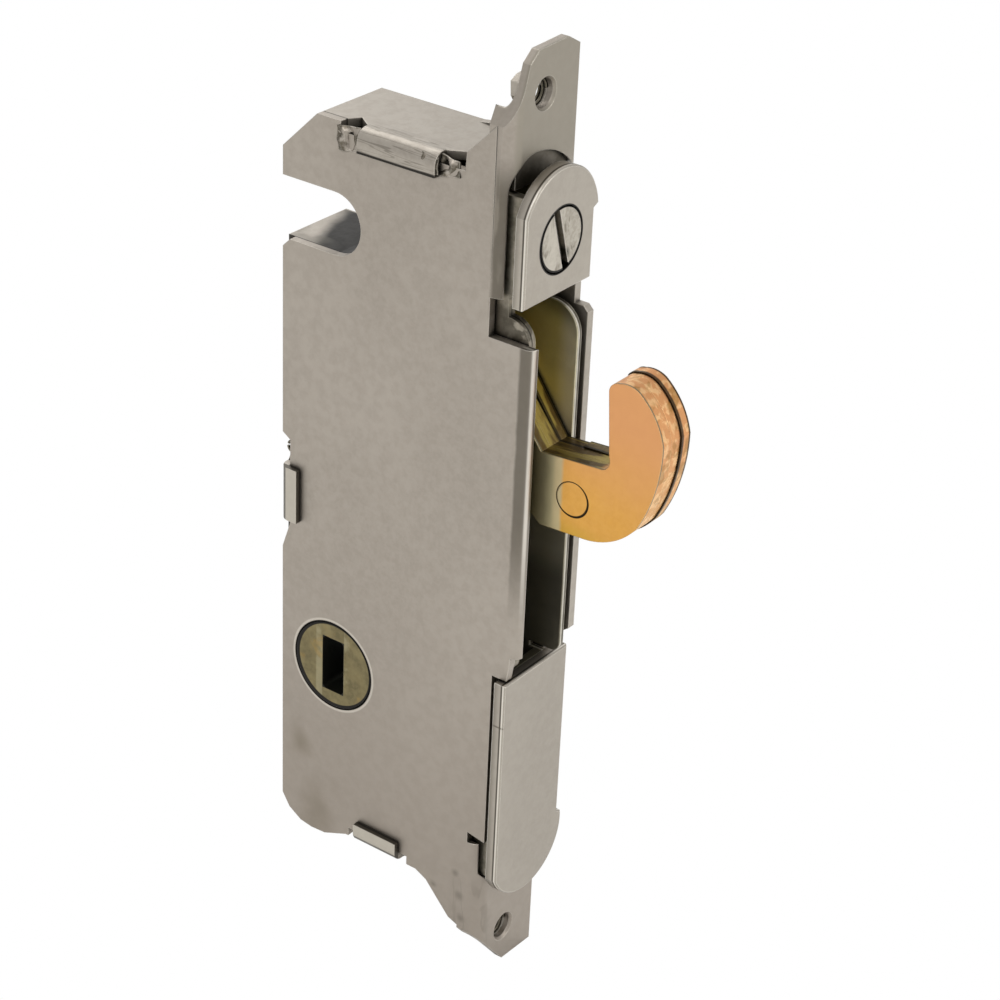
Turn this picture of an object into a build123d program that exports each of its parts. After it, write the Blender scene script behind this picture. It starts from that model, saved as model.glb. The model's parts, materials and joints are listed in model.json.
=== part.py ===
from build123d import *
import os
from math import cos, pi, radians, sin, sqrt

# Sliding patio door lock: a sheet case with two screw ears, a carriage that
# an adjusting screw moves in and out, and a hook that swings down into it.
# X runs across the thickness, Y into the door, Z up. The origin lies midway
# between the two ear screw holes, on the front face of the ears.

# Driving dimensions of the case, in millimetres
hole_spacing = 93.66
case_thickness = 9.6
case_depth = 26.95
top_setback = 6.38
bottom_setback = 6.33
heel_drop = 1.3
heel_width_share = 0.334
top_chamfer = 4.25
sheet = 0.9
bend_radius = 1.75
ear_rise = 10.95
ear_drop = 10.8
ear_half_width = 5.0
ear_hole_radius = 1.4
ear_sink = 0.25
wall_front = 4.2

# Layers across the thickness
side_play = 0.15
carriage_sheet = 1.05
far_wall_sheet = 0.7
far_wall_gap = 0.85
slide_sheet = 0.65
slide_play = 0.1

near_face = -case_thickness / 2
near_inner = near_face + sheet
far_face = case_thickness / 2
far_inner = far_face - sheet
slide_far = far_inner - slide_play
slide_near = slide_far - slide_sheet
far_wall_far = far_inner - far_wall_gap
far_wall_near = far_wall_far - far_wall_sheet
near_wall_near = near_inner + side_play
near_wall_far = near_wall_near + carriage_sheet
top_hole_z = hole_spacing / 2
bottom_hole_z = -hole_spacing / 2
case_top = top_hole_z - top_setback
case_bottom = top_hole_z - bottom_setback
ear_top = case_top + ear_rise
ear_bottom = case_bottom + ear_drop

web_back = -0.36
wall_neck = 0.3
pivot_ear_chamfer = 2.0
washer_rim = 1.3
link_rise = 4.6
lobe_low_angle = -50
lobe_tangent_angle = 145
main_plate_near = 0.8
hub_slot_round = 0.5
arm_near = 2.2
nut_chamfer = 0.6
stud_seat_step = 0.3

# Fits
pin_fit = 0.03
running_fit = 0.08
hub_fit = 0.1
slot_play = 0.3
seat_gap = 0.1

# Front openings of the case
ear_gap_inset = 0.5
ear_gap_rise = 1.05
ear_corner_rise = -1.8
ear_gap_radius = 3.2
upper_bend_end = 27.9
lower_bend_rise = 6.6
lower_head_margin = 0.4
rear_ear_clear = 0.3

# Cheeks beside the hook
cheek_reach = 2.5
cheek_top = 23.9
cheek_bottom = 9.7
cheek_foot = 12.5
foot_reach = 2.2
lower_front = 0.45
relief_rise = 1.3
far_cheek_reach = 3.4
far_cheek_top = 25.5
far_cheek_corner = 0.55
far_cheek_bottom = 9.9
far_neck_top = 27.6
far_neck_reach = 1.8
far_neck_bottom = 10.8

# Rear notch for a handle screw
notch_width = 6.5
notch_drop = 10.5
notch_depth = 9.75
notch_lip = 0.9

# Crimp tabs of the pan, each folded over the near plate
tab_sheet = 0.7
tab_lap = 1.45
tab_relief = 0.1
tab_roll = 1.3
tab_notch = 1.2
notch_tip_share = 1 / 3
back_tab_top = 1.8
back_tab_bottom = -4.25
back_slot_top = 4.75
back_slot_bottom = -4.9
back_flare_high = 0.65
back_flare_low = 3.0
# Shares of the case depth: tab start and end, slot start and end
top_tab_shares = (0.3006, 0.6419, 0.1892, 0.7347)
bottom_tab_shares = (0.3970, 0.6085, 0.3562, 0.6531)

# Hub
hub_setback = 6.95
hub_z = -19.8
hub_radius = 5.0
hub_core_radius = 4.2
hub_collar_radius = 5.9
hub_collar_width = 1.35
hub_slot_width = 2.85
hub_slot_height = 6.4
arm_radius = 7.0
arm_sheet = 0.8
arm_ring_radius = 5.7
arm_tip_radius = 1.6
arm_rest_angle = 225
drive_pin_radius = 0.9

# Hook
pivot_y = 7.0
pivot_z = 19.0
pivot_radius = 1.5
lobe_radius = 4.4
lobe_step = 0.5
hook_sheet = 1.5
hook_main_sheet = 1.4
hook_near_face = -2.2
hook_reach = 16.7
hook_base_z = 4.75
hook_height = 17.65
hook_rim = 0.15
rivet_y = -7.0
rivet_z = 8.7
rivet_radius = 1.8
inner_rivet_y = 1.2
inner_rivet_z = 11.0
inner_rivet_radius = 1.2
tail_radius = 7.7
tail_swing = 80
tail_boss_radius = 1.9

# Carriage and face plates
face_front = 2.56
face_sheet = 1.3
face_far_width = 5.15
face_near_width = 5.45
face_edge_break = 0.15
shoulder_rise = 0.7
shoulder_height = 0.35
upper_head_radius = 5.9
upper_head_drop = 5.85
upper_plate_bottom = 27.95
lower_head_rise = 6.1
lower_plate_top = 12.7
web_sheet = 0.9
carriage_end_gap = 2.45
carriage_depth = 6.4
pivot_ear_depth = 9.8
pivot_ear_bottom = 13.0
slot_top = 26.0
slot_bottom = 12.0
near_nose = 2.2
near_nose_radius = 2.4
far_nose = 3.4
far_nose_radius = 3.0
nose_bottom_radius = 1.0
carriage_travel = 4.0

# Adjusting screw
screw_drop = 1.2
screw_head_radius = 3.15
screw_head_clear = 0.15
screw_shank_radius = 1.75
shank_edge_share = 0.25
screw_overrun = 1.94
screw_slot_width = 0.95
screw_slot_depth = 0.75
screw_slot_angle = 17
clip_radius = 2.25
clip_sheet = 0.5

# Blocks and studs fixed inside the case
nut_front = 8.0
nut_depth_share = 0.60241
nut_height = 8.0
guide_front = 8.3
guide_depth = 5.6
guide_rise = 12.5
guide_height = 6.0
guide_tongue_front = 4.5
guide_tongue_half_width = 2.0
guide_edge_share = 0.25
stud_setback = 8.25
stud_places = (6.0, -8.0)
stud_radius = 1.0
stud_head_radius = 1.8
stud_head_sheet = 0.6
stud_head_play = 0.12

# Drive slide and its spring
slide_bar_half_width = 2.25
slide_head_height = 4.6
slide_head_margin = 1.0
fork_prong = 1.1
lug_z = 6.0
lug_sheet = 0.7
lug_fore = 2.2
lug_aft = 2.3
lug_reach = 4.7
lug_arm_height = 3.0
spring_setback = 4.95
spring_radius = 2.2
spring_wire_radius = 0.3
spring_turns = 6
spring_wire_sides = 8
spring_seat_radius = 2.7
spring_spigot_radius = 1.4
spring_spigot_length = 4.0
spring_cup_sheet = 0.6

inner_lobe_radius = lobe_radius - lobe_step
ear_gap_side = far_face - ear_gap_inset
ear_gap_top = case_top + ear_gap_rise
ear_gap_corner = case_top + ear_corner_rise
lower_head_clear = ear_half_width + lower_head_margin
lower_bend_end = case_bottom - lower_bend_rise
relief_top = lower_bend_end - relief_rise
notch_z = case_top - notch_drop
upper_head_z = case_top - upper_head_drop
lower_head_z = case_bottom - lower_head_rise
carriage_half_height = case_top - carriage_end_gap
screw_z = upper_head_z - screw_drop
guide_top = guide_rise - case_bottom
hub_y = case_depth - hub_setback
stud_y = hub_y - stud_setback
nut_depth = (case_depth - notch_depth - sheet - nut_front) * nut_depth_share
screw_length = face_front + nut_front + nut_depth + screw_overrun
spring_y = case_depth - spring_setback
lug_front = spring_y - lug_fore
lug_back = spring_y + lug_aft
lift = 2 * tail_radius * sin(radians(tail_swing / 2))
tail_y = pivot_y + tail_radius * cos(radians(tail_swing / 2))
tail_z = pivot_z - lift / 2
drive_pin_y = hub_y + arm_radius * cos(radians(arm_rest_angle))
drive_pin_z = hub_z + arm_radius * sin(radians(arm_rest_angle))

top_tab_start, top_tab_end, top_slot_start, top_slot_end = [case_depth * share for share in top_tab_shares]
bottom_tab_start, bottom_tab_end, bottom_slot_start, bottom_slot_end = [
    case_depth * share for share in bottom_tab_shares
]
web_width = far_wall_far - near_wall_near
web_middle = (far_wall_far + near_wall_near) / 2

os.makedirs("parts", exist_ok=True)

# Outline shares: across the ear's half width, and up its height beyond the case
ear_edge_shares = [
    (1.00, 0.909), (0.64, 1.000), (-0.25, 0.982), (-0.50, 0.885),
    (-0.66, 0.650), (-0.76, 0.545), (-0.94, 0.378),
]
rear_ear_edge_shares = [
    (0.96, 0.120), (0.60, 0.200), (0.60, 0.880), (0.22, 0.865), (0.02, 0.785), (-0.19, 0.779),
    (-0.44, 0.765), (-0.60, 0.726), (-0.58, 0.598), (-0.46, 0.516), (-0.36, 0.300),
]
lower_ear_edge_shares = [(-0.96, 0.454), (0.00, 0.981), (1.00, 1.000)]
# Heel: share of its width from the back, and of its drop below the case
heel_shares = [(0.00, -1.170), (0.11, 0.020), (0.29, 0.810), (0.46, 1.000), (0.67, 0.920), (1.00, 0.000)]
# Web beside the ear: share of the tab notch's front, and of the ear's height
upper_web_shares = [(0.98, 0.075)]
lower_web_shares = [(1.64, 0.000), (1.36, 0.065), (1.12, 0.190), (0.75, 0.380)]

notch_radius = notch_width / 2
notch_centre_y = case_depth - notch_depth + notch_radius
heel_width = case_depth * heel_width_share
notch_high = notch_z + notch_radius
notch_low = notch_z - notch_radius
web_base_z = case_top + ear_rise * ear_edge_shares[-1][1]
lower_gap_right_z = -lower_head_z - sqrt(lower_head_clear**2 - ear_half_width**2)
lower_gap_left_z = -lower_head_z - sqrt(lower_head_clear**2 - ear_gap_side**2)
lower_web_z = -case_bottom - ear_drop * lower_ear_edge_shares[0][1]
upper_web = [(top_slot_start * y, case_top + ear_rise * z) for y, z in upper_web_shares]
lower_web = [(top_slot_start * y, -case_bottom - ear_drop * z) for y, z in lower_web_shares]
back_outline_top = [
    (case_depth - top_chamfer, case_top),
    (case_depth, case_top - top_chamfer),
    (case_depth, notch_high),
    (notch_centre_y, notch_high),
]
back_outline_low = [(case_depth - heel_width * y, -case_bottom - heel_drop * z) for y, z in heel_shares]

# Closed outline of the case box, and the same outline inside its walls
with BuildSketch() as case_outline:
    with BuildLine():
        Polyline(
            (notch_centre_y, notch_low),
            (case_depth, notch_low),
            *back_outline_low,
            (wall_front, -case_bottom),
            (wall_front, case_top),
            *back_outline_top,
        )
        ThreePointArc(
            (notch_centre_y, notch_high),
            (notch_centre_y - notch_radius, notch_z),
            (notch_centre_y, notch_low),
        )
    make_face()
with BuildSketch() as case_inside:
    add(case_outline.sketch)
    offset(amount=-sheet, kind=Kind.INTERSECTION)
    with BuildLine():
        Polyline(
            (0, -case_bottom + sheet),
            (wall_front + 2 * sheet, -case_bottom + sheet),
            (wall_front + 2 * sheet, case_top - sheet),
            (0, case_top - sheet),
            close=True,
        )
    make_face()

# Near side plate
with BuildPart() as near_side_plate:
    # Front ears: one bent strip, trimmed to the ear outlines
    with BuildSketch(Plane.XY.offset(-ear_bottom)):
        with BuildLine():
            Line((near_face, bend_radius + sheet), (near_face, bend_radius))
            TangentArc((near_face, bend_radius), (near_face + bend_radius, 0), tangent=(0, -1))
            Polyline(
                (near_face + bend_radius, 0),
                (ear_half_width, 0),
                (ear_half_width, sheet),
                (near_face + bend_radius, sheet),
            )
            TangentArc((near_face + bend_radius, sheet), (near_inner, bend_radius), tangent=(-1, 0))
            Polyline(
                (near_inner, bend_radius),
                (near_inner, bend_radius + sheet),
                (near_face, bend_radius + sheet),
            )
        make_face()
    extrude(amount=ear_bottom + ear_top)
    with BuildSketch(Plane.XZ.offset(-bend_radius - 2 * sheet)):
        with BuildLine():
            Polyline(
                (-ear_gap_side, ear_gap_top - ear_gap_radius),
                (-ear_gap_side, upper_bend_end),
                (near_face, upper_bend_end),
                *[(ear_half_width * x, case_top + ear_rise * z) for x, z in reversed(ear_edge_shares)],
                (ear_half_width, ear_gap_corner),
            )
            TangentArc(
                (-ear_gap_side, ear_gap_top - ear_gap_radius),
                (-ear_gap_side + ear_gap_radius, ear_gap_top),
                tangent=(0, 1),
            )
            TangentArc(
                (-ear_gap_side + ear_gap_radius, ear_gap_top),
                (ear_half_width, ear_gap_corner),
                tangent=(1, 0),
            )
        make_face()
        with BuildLine():
            Polyline(
                (-ear_gap_side, lower_gap_left_z),
                (-ear_gap_side, -lower_bend_end),
                (near_face, -lower_bend_end),
                *[(ear_half_width * x, -case_bottom - ear_drop * z) for x, z in lower_ear_edge_shares],
                (ear_half_width, lower_gap_right_z),
            )
            ThreePointArc(
                (ear_half_width, lower_gap_right_z),
                (0, -lower_head_z - lower_head_clear),
                (-ear_gap_side, lower_gap_left_z),
            )
        make_face()
    extrude(amount=bend_radius + 3 * sheet, mode=Mode.INTERSECT)
    # Flat side with the tab notches, the rear notch and the cheek
    with BuildSketch(Plane.YZ.offset(near_face)):
        with BuildLine():
            Polyline(
                (notch_centre_y, notch_low),
                (case_depth - notch_lip, notch_low),
                (case_depth, notch_low - notch_lip),
                (case_depth, back_slot_top + back_flare_high),
                (case_depth - sheet - tab_relief, back_slot_top),
                (case_depth - sheet - tab_relief, back_slot_bottom),
                (case_depth, back_slot_bottom - back_flare_low),
                *back_outline_low,
                (bottom_slot_end, -case_bottom),
                (bottom_slot_end, -case_bottom + sheet + tab_relief),
                (bottom_slot_start, -case_bottom + sheet + tab_relief),
                (bottom_slot_start, -case_bottom),
                *lower_web,
                (bend_radius, lower_web_z),
                (bend_radius, -relief_top),
                (-lower_front, -lower_bend_end + sheet),
                (-lower_front, -cheek_foot),
                (-foot_reach, -cheek_foot),
                (-cheek_reach, -cheek_bottom - sheet),
                (-cheek_reach, cheek_top),
                (bend_radius, cheek_top),
                (bend_radius, web_base_z),
                *reversed(upper_web),
                (top_slot_start, case_top - sheet - tab_relief),
                (top_slot_end, case_top - sheet - tab_relief),
                (top_slot_end, case_top),
                *back_outline_top,
            )
            ThreePointArc(
                (notch_centre_y, notch_high),
                (notch_centre_y - notch_radius, notch_z),
                (notch_centre_y, notch_low),
            )
        make_face()
    extrude(amount=sheet)
    # Rolled lip along the front of the cheek
    with BuildSketch(Plane.XY.offset(-cheek_bottom)):
        with BuildLine():
            Line((near_inner, -cheek_reach), (near_face, -cheek_reach))
            TangentArc((near_face, -cheek_reach), (near_inner, -cheek_reach - sheet), tangent=(0, -1))
            Line((near_inner, -cheek_reach - sheet), (near_inner, -cheek_reach))
        make_face()
    extrude(amount=cheek_bottom + cheek_top)
    # Hub hole and ear screw holes
    with BuildSketch(Plane.YZ.offset(near_face)):
        with Locations((hub_y, hub_z)):
            Circle(hub_radius + hub_fit)
    extrude(amount=sheet, mode=Mode.SUBTRACT)
    with Locations(Plane.XZ):
        with Locations((0, top_hole_z), (0, bottom_hole_z)):
            CounterSinkHole(ear_hole_radius, ear_hole_radius + ear_sink, depth=2 * sheet)
near_side_plate.part.label = "near_side_plate"
export_step(near_side_plate.part, "parts/near_side_plate.step")

# Far side pan
with BuildPart() as far_side_pan:
    # Rear ears behind the front ones, bent from the far side
    with BuildSketch(Plane.XY.offset(-ear_bottom)):
        with BuildLine():
            Line((far_face, bend_radius + 2 * sheet), (far_face, bend_radius + sheet))
            TangentArc((far_face, bend_radius + sheet), (far_face - bend_radius, sheet), tangent=(0, -1))
            Polyline(
                (far_face - bend_radius, sheet),
                (near_inner, sheet),
                (near_inner, 2 * sheet),
                (far_face - bend_radius, 2 * sheet),
            )
            TangentArc((far_face - bend_radius, 2 * sheet), (far_inner, bend_radius + sheet), tangent=(1, 0))
            Polyline(
                (far_inner, bend_radius + sheet),
                (far_inner, bend_radius + 2 * sheet),
                (far_face, bend_radius + 2 * sheet),
            )
        make_face()
    extrude(amount=ear_bottom + ear_top)
    with BuildSketch(Plane.XZ.offset(-bend_radius - 3 * sheet)):
        with BuildLine():
            Polyline(
                (far_face, carriage_half_height + rear_ear_clear),
                *[(ear_half_width * x, case_top + ear_rise * z) for x, z in rear_ear_edge_shares],
                (near_face + bend_radius, carriage_half_height + rear_ear_clear),
                close=True,
            )
        make_face()
        with BuildLine():
            Polyline(
                (far_face, -carriage_half_height - rear_ear_clear),
                (near_face + bend_radius, -carriage_half_height - rear_ear_clear),
                (near_face + bend_radius, -ear_bottom + ear_drop / 2),
                (0, -ear_bottom + sheet),
                (far_face, -ear_bottom + sheet),
                close=True,
            )
        make_face()
    extrude(amount=bend_radius + 4 * sheet, mode=Mode.INTERSECT)
    # Floor of the pan, which is the far side with its cheek
    with BuildSketch(Plane.YZ.offset(far_inner)):
        with BuildLine():
            Polyline(
                (notch_centre_y, notch_low),
                (case_depth, notch_low),
                *back_outline_low,
                *lower_web,
                (bend_radius + sheet, lower_web_z),
                (bend_radius + sheet, -lower_bend_end),
                (-lower_front, -relief_top),
                (-lower_front, -far_neck_bottom),
                (-foot_reach, -far_neck_bottom),
                (-far_cheek_reach, -far_cheek_bottom),
                (-far_cheek_reach, far_cheek_top - far_cheek_corner),
                (-far_cheek_reach + far_cheek_corner, far_cheek_top),
                (-far_neck_reach, far_cheek_top),
                (-far_neck_reach, far_neck_top),
                (-lower_front, far_neck_top),
                (-lower_front, upper_bend_end),
                (bend_radius + sheet, upper_bend_end),
                (bend_radius + sheet, web_base_z - sheet),
                *reversed(upper_web),
                (2 * top_slot_start, case_top),
                *back_outline_top,
            )
            ThreePointArc(
                (notch_centre_y, notch_high),
                (notch_centre_y - notch_radius, notch_z),
                (notch_centre_y, notch_low),
            )
        make_face()
    extrude(amount=sheet)
    # Top, back, notch and bottom walls
    with BuildSketch(Plane.YZ.offset(near_inner)):
        add(case_outline.sketch)
        add(case_inside.sketch, mode=Mode.SUBTRACT)
    extrude(amount=far_inner - near_inner)
    # Crimp tabs folded over the near plate
    for tab_origin, tab_axis, tab_width in (
        ((near_inner, top_tab_start, case_top), (0, 1, 0), top_tab_end - top_tab_start),
        ((near_inner, case_depth, back_tab_top), (0, 0, -1), back_tab_top - back_tab_bottom),
        ((near_inner, bottom_tab_end, -case_bottom), (0, -1, 0), bottom_tab_end - bottom_tab_start),
    ):
        with BuildSketch(Plane(tab_origin, x_dir=(-1, 0, 0), z_dir=tab_axis)):
            with BuildLine():
                Line((sheet + tab_sheet - tab_roll, 0), (0, 0))
                Polyline((0, 0), (0, -sheet), (sheet, -sheet), (sheet, -sheet - tab_lap))
                Polyline(
                    (sheet, -sheet - tab_lap),
                    (sheet + tab_sheet, -sheet - tab_lap),
                    (sheet + tab_sheet, -tab_roll),
                )
                TangentArc((sheet + tab_sheet, -tab_roll), (sheet + tab_sheet - tab_roll, 0), tangent=(0, 1))
            make_face()
        extrude(amount=tab_width)
    # Three-cornered notches in the walls, one at each end of a tab
    top_pairs = ((top_tab_start, top_slot_start), (top_tab_end, top_slot_end))
    back_pairs = ((back_tab_top, back_slot_top), (back_tab_bottom, back_slot_bottom))
    bottom_pairs = ((bottom_tab_start, bottom_slot_start), (bottom_tab_end, bottom_slot_end))
    for notch_plane, notch_pairs in (
        (Plane.XY.offset(case_top - sheet), top_pairs),
        (Plane.XZ.offset(-case_depth), back_pairs),
        (Plane.XY.offset(-case_bottom), bottom_pairs),
    ):
        with BuildSketch(notch_plane):
            for tab_edge, slot_edge in notch_pairs:
                with BuildLine():
                    Polyline(
                        (near_inner, tab_edge),
                        (near_inner, slot_edge),
                        (near_inner + tab_notch, slot_edge + (tab_edge - slot_edge) * notch_tip_share),
                        close=True,
                    )
                make_face()
        extrude(amount=sheet, mode=Mode.SUBTRACT)
    # Hub hole and ear screw holes
    with BuildSketch(Plane.YZ.offset(far_inner)):
        with Locations((hub_y, hub_z)):
            Circle(hub_radius + hub_fit)
        # Seats of the two guide studs
        with Locations(*[(stud_y, z) for z in stud_places]):
            Circle(stud_radius - stud_seat_step)
    extrude(amount=sheet, mode=Mode.SUBTRACT)
    with Locations(Plane.XZ.offset(-sheet)):
        with Locations((0, top_hole_z), (0, bottom_hole_z)):
            Hole(ear_hole_radius, depth=2 * sheet)
far_side_pan.part.label = "far_side_pan"
export_step(far_side_pan.part, "parts/far_side_pan.step")

# Adjuster nut, a block staked between the two sides
with BuildPart() as adjuster_nut:
    with BuildSketch(Plane.XZ.offset(-nut_front)):
        with Locations((0, screw_z)):
            Rectangle(far_inner - near_inner, nut_height)
    extrude(amount=-nut_depth)
    chamfer(adjuster_nut.edges().filter_by(Axis.X), length=nut_chamfer)
    with Locations(Plane.XZ.offset(-nut_front)):
        with Locations((0, screw_z)):
            Hole(screw_shank_radius + running_fit)
adjuster_nut.part.label = "adjuster_nut"
export_step(adjuster_nut.part, "parts/adjuster_nut.step")

# Lower guide block with the tongue that runs between the carriage walls
with BuildPart() as lower_guide_block:
    with BuildSketch(Plane.XY.offset(guide_top)):
        with Locations((0, guide_front + guide_depth / 2)):
            Rectangle(far_inner - near_inner, guide_depth)
        with Locations((0, (guide_tongue_front + guide_front) / 2)):
            Rectangle(2 * guide_tongue_half_width, guide_front - guide_tongue_front)
    extrude(amount=-guide_height)
    tongue_edges = lower_guide_block.edges().filter_by(Axis.Z).group_by(Axis.Y)[0]
    fillet(tongue_edges, radius=guide_tongue_half_width * guide_edge_share)
lower_guide_block.part.label = "lower_guide_block"
export_step(lower_guide_block.part, "parts/lower_guide_block.step")

# Two shouldered studs, riveted through the pan
with BuildPart() as slide_guide_studs:
    for stud_z in stud_places:
        with BuildSketch(Plane.YZ.offset(far_inner)):
            with Locations((stud_y, stud_z)):
                Circle(stud_radius)
        extrude(amount=-slide_sheet - slide_play - stud_head_play)
        with BuildSketch(Plane.YZ.offset(slide_near - stud_head_play)):
            with Locations((stud_y, stud_z)):
                Circle(stud_head_radius)
        extrude(amount=-stud_head_sheet)
        with BuildSketch(Plane.YZ.offset(far_inner)):
            with Locations((stud_y, stud_z)):
                Circle(stud_radius - stud_seat_step - pin_fit)
        extrude(amount=sheet)
slide_guide_studs.part.label = "slide_guide_studs"
export_step(slide_guide_studs.part, "parts/slide_guide_studs.step")

# Spring seat: a cup under the notch wall with a spigot inside the coils
seat_top = notch_low - sheet
with BuildPart() as spring_seat:
    with BuildSketch(Plane.XY.offset(seat_top)):
        with Locations((0, spring_y)):
            Circle(spring_seat_radius)
    extrude(amount=-spring_cup_sheet)
    with BuildSketch(Plane.XY.offset(seat_top - spring_cup_sheet)):
        with Locations((0, spring_y)):
            Circle(spring_spigot_radius)
    extrude(amount=-spring_spigot_length)
spring_seat.part.label = "spring_seat"
export_step(spring_seat.part, "parts/spring_seat.step")

# Carriage frame: two walls with noses beside the hook, joined by webs behind the face plates
wall_profiles = []
for nose, nose_radius in ((near_nose, near_nose_radius), (far_nose, far_nose_radius)):
    with BuildSketch() as wall_profile:
        with BuildLine():
            Polyline(
                (nose_radius - nose, slot_top),
                (wall_neck, slot_top),
                (wall_neck, upper_plate_bottom),
                (web_back, upper_plate_bottom),
                (web_back, carriage_half_height),
                (carriage_depth, carriage_half_height),
                (carriage_depth, slot_top),
                (pivot_ear_depth, slot_top - pivot_ear_chamfer),
                (pivot_ear_depth, pivot_ear_bottom + pivot_ear_chamfer),
                (carriage_depth, pivot_ear_bottom),
                (carriage_depth, -carriage_half_height),
                (web_back, -carriage_half_height),
                (web_back, -lower_plate_top),
                (wall_neck, -lower_plate_top),
                (wall_neck, -slot_bottom),
                (nose_bottom_radius - nose, -slot_bottom),
            )
            TangentArc(
                (nose_bottom_radius - nose, -slot_bottom),
                (-nose, nose_bottom_radius - slot_bottom),
                tangent=(-1, 0),
            )
            Line((-nose, nose_bottom_radius - slot_bottom), (-nose, slot_top - nose_radius))
            TangentArc((-nose, slot_top - nose_radius), (nose_radius - nose, slot_top), tangent=(0, 1))
        make_face()
        with Locations((pivot_y, pivot_z)):
            Circle(pivot_radius + pin_fit, mode=Mode.SUBTRACT)
    wall_profiles.append(wall_profile.sketch)
with BuildPart() as carriage_frame:
    with BuildSketch(Plane.YZ.offset(near_wall_near)):
        add(wall_profiles[0])
    extrude(amount=carriage_sheet)
    with BuildSketch(Plane.YZ.offset(far_wall_near)):
        add(wall_profiles[1])
    extrude(amount=far_wall_sheet)
    with BuildSketch(Plane.XZ.offset(-web_back)):
        with Locations((web_middle, (upper_plate_bottom + carriage_half_height) / 2)):
            Rectangle(web_width, carriage_half_height - upper_plate_bottom)
        with Locations((web_middle, -(lower_plate_top + carriage_half_height) / 2)):
            Rectangle(web_width, carriage_half_height - lower_plate_top)
        with Locations((0, screw_z)):
            Circle(screw_shank_radius + running_fit, mode=Mode.SUBTRACT)
    extrude(amount=web_sheet)
carriage_frame.part.label = "carriage_frame"
export_step(carriage_frame.part, "parts/carriage_frame.step")

# Outline of a face plate's round head: flush with the near edge, shouldered at the far one
shoulder_x = sqrt(upper_head_radius**2 - shoulder_rise**2)
near_corner_rise = sqrt(upper_head_radius**2 - face_near_width**2)

# Upper face plate, a stamped D with a round head and the hole for the screw's head
with BuildPart() as upper_face_plate:
    with BuildSketch(Plane.XZ.offset(face_front)):
        with BuildLine():
            Polyline(
                (shoulder_x, upper_head_z + shoulder_rise),
                (face_far_width, upper_head_z + shoulder_height),
                (face_far_width, upper_plate_bottom),
                (-face_near_width, upper_plate_bottom),
                (-face_near_width, upper_head_z + near_corner_rise),
            )
            ThreePointArc(
                (-face_near_width, upper_head_z + near_corner_rise),
                (0, upper_head_z + upper_head_radius),
                (shoulder_x, upper_head_z + shoulder_rise),
            )
        make_face()
    extrude(amount=-face_sheet)
    chamfer(upper_face_plate.faces().sort_by(Axis.Y)[0].edges(), length=face_edge_break)
    with Locations(Plane.XZ.offset(face_front)):
        with Locations((0, screw_z)):
            Hole(screw_head_radius + screw_head_clear)
upper_face_plate.part.label = "upper_face_plate"
export_step(upper_face_plate.part, "parts/upper_face_plate.step")

# Lower face plate, the same D turned over and longer
with BuildPart() as lower_face_plate:
    with BuildSketch(Plane.XZ.offset(face_front)):
        with BuildLine():
            Polyline(
                (shoulder_x, -lower_head_z + shoulder_rise),
                (face_far_width, -lower_head_z + shoulder_rise + shoulder_height),
                (face_far_width, -lower_plate_top),
                (-face_near_width, -lower_plate_top),
                (-face_near_width, -lower_head_z - near_corner_rise),
            )
            ThreePointArc(
                (-face_near_width, -lower_head_z - near_corner_rise),
                (0, -lower_head_z - upper_head_radius),
                (shoulder_x, -lower_head_z + shoulder_rise),
            )
        make_face()
    extrude(amount=-face_sheet)
    chamfer(lower_face_plate.faces().sort_by(Axis.Y)[0].edges(), length=face_edge_break)
lower_face_plate.part.label = "lower_face_plate"
export_step(lower_face_plate.part, "parts/lower_face_plate.step")

# Pivot pin of the hook, pressed into both carriage walls
with BuildPart() as hook_pivot_pin:
    with BuildSketch(Plane.YZ.offset(near_inner + seat_gap)):
        with Locations((pivot_y, pivot_z)):
            Circle(pivot_radius)
    extrude(amount=slide_near - near_inner - seat_gap - seat_gap / 2)
hook_pivot_pin.part.label = "hook_pivot_pin"
export_step(hook_pivot_pin.part, "parts/hook_pivot_pin.step")

# Washer that keeps the hook off the near carriage wall
with BuildPart() as pivot_washer:
    with BuildSketch(Plane.YZ.offset(near_wall_far)):
        with Locations((pivot_y, pivot_z)):
            Circle(pivot_radius + washer_rim)
            Circle(pivot_radius + running_fit, mode=Mode.SUBTRACT)
    extrude(amount=hook_near_face - near_wall_far - seat_gap)
pivot_washer.part.label = "pivot_washer"
export_step(pivot_washer.part, "parts/pivot_washer.step")


# Places on the hook's outline, as shares of its reach and of its height
hook_shares = {
    "belly": (0.518, 0.014),
    "heel": (0.204, 0.000),
    "arm": (0.186, 0.439),
    "throat_start": (0.593, 0.467),
    "throat_end": (0.647, 0.558),
    "tip_low": (0.617, 0.938),
    "tip": (0.632, 0.976),
    "tip_high": (0.680, 0.998),
    "crest": (0.750, 1.006),
    "crown": (0.815, 0.985),
    "brow": (0.925, 0.873),
    "front": (0.991, 0.722),
    "front_low": (0.970, 0.490),
    "chin": (0.862, 0.201),
    "jaw": (0.731, 0.082),
}


def hook_point(name):
    """Place on the hook's outline."""
    forward_share, height_share = hook_shares[name]
    return (-hook_reach * forward_share, hook_base_z + hook_height * height_share)


def on_lobe(radius, angle):
    """Place on a lobe round the hook's pivot."""
    return (pivot_y + radius * cos(radians(angle)), pivot_z + radius * sin(radians(angle)))


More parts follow.
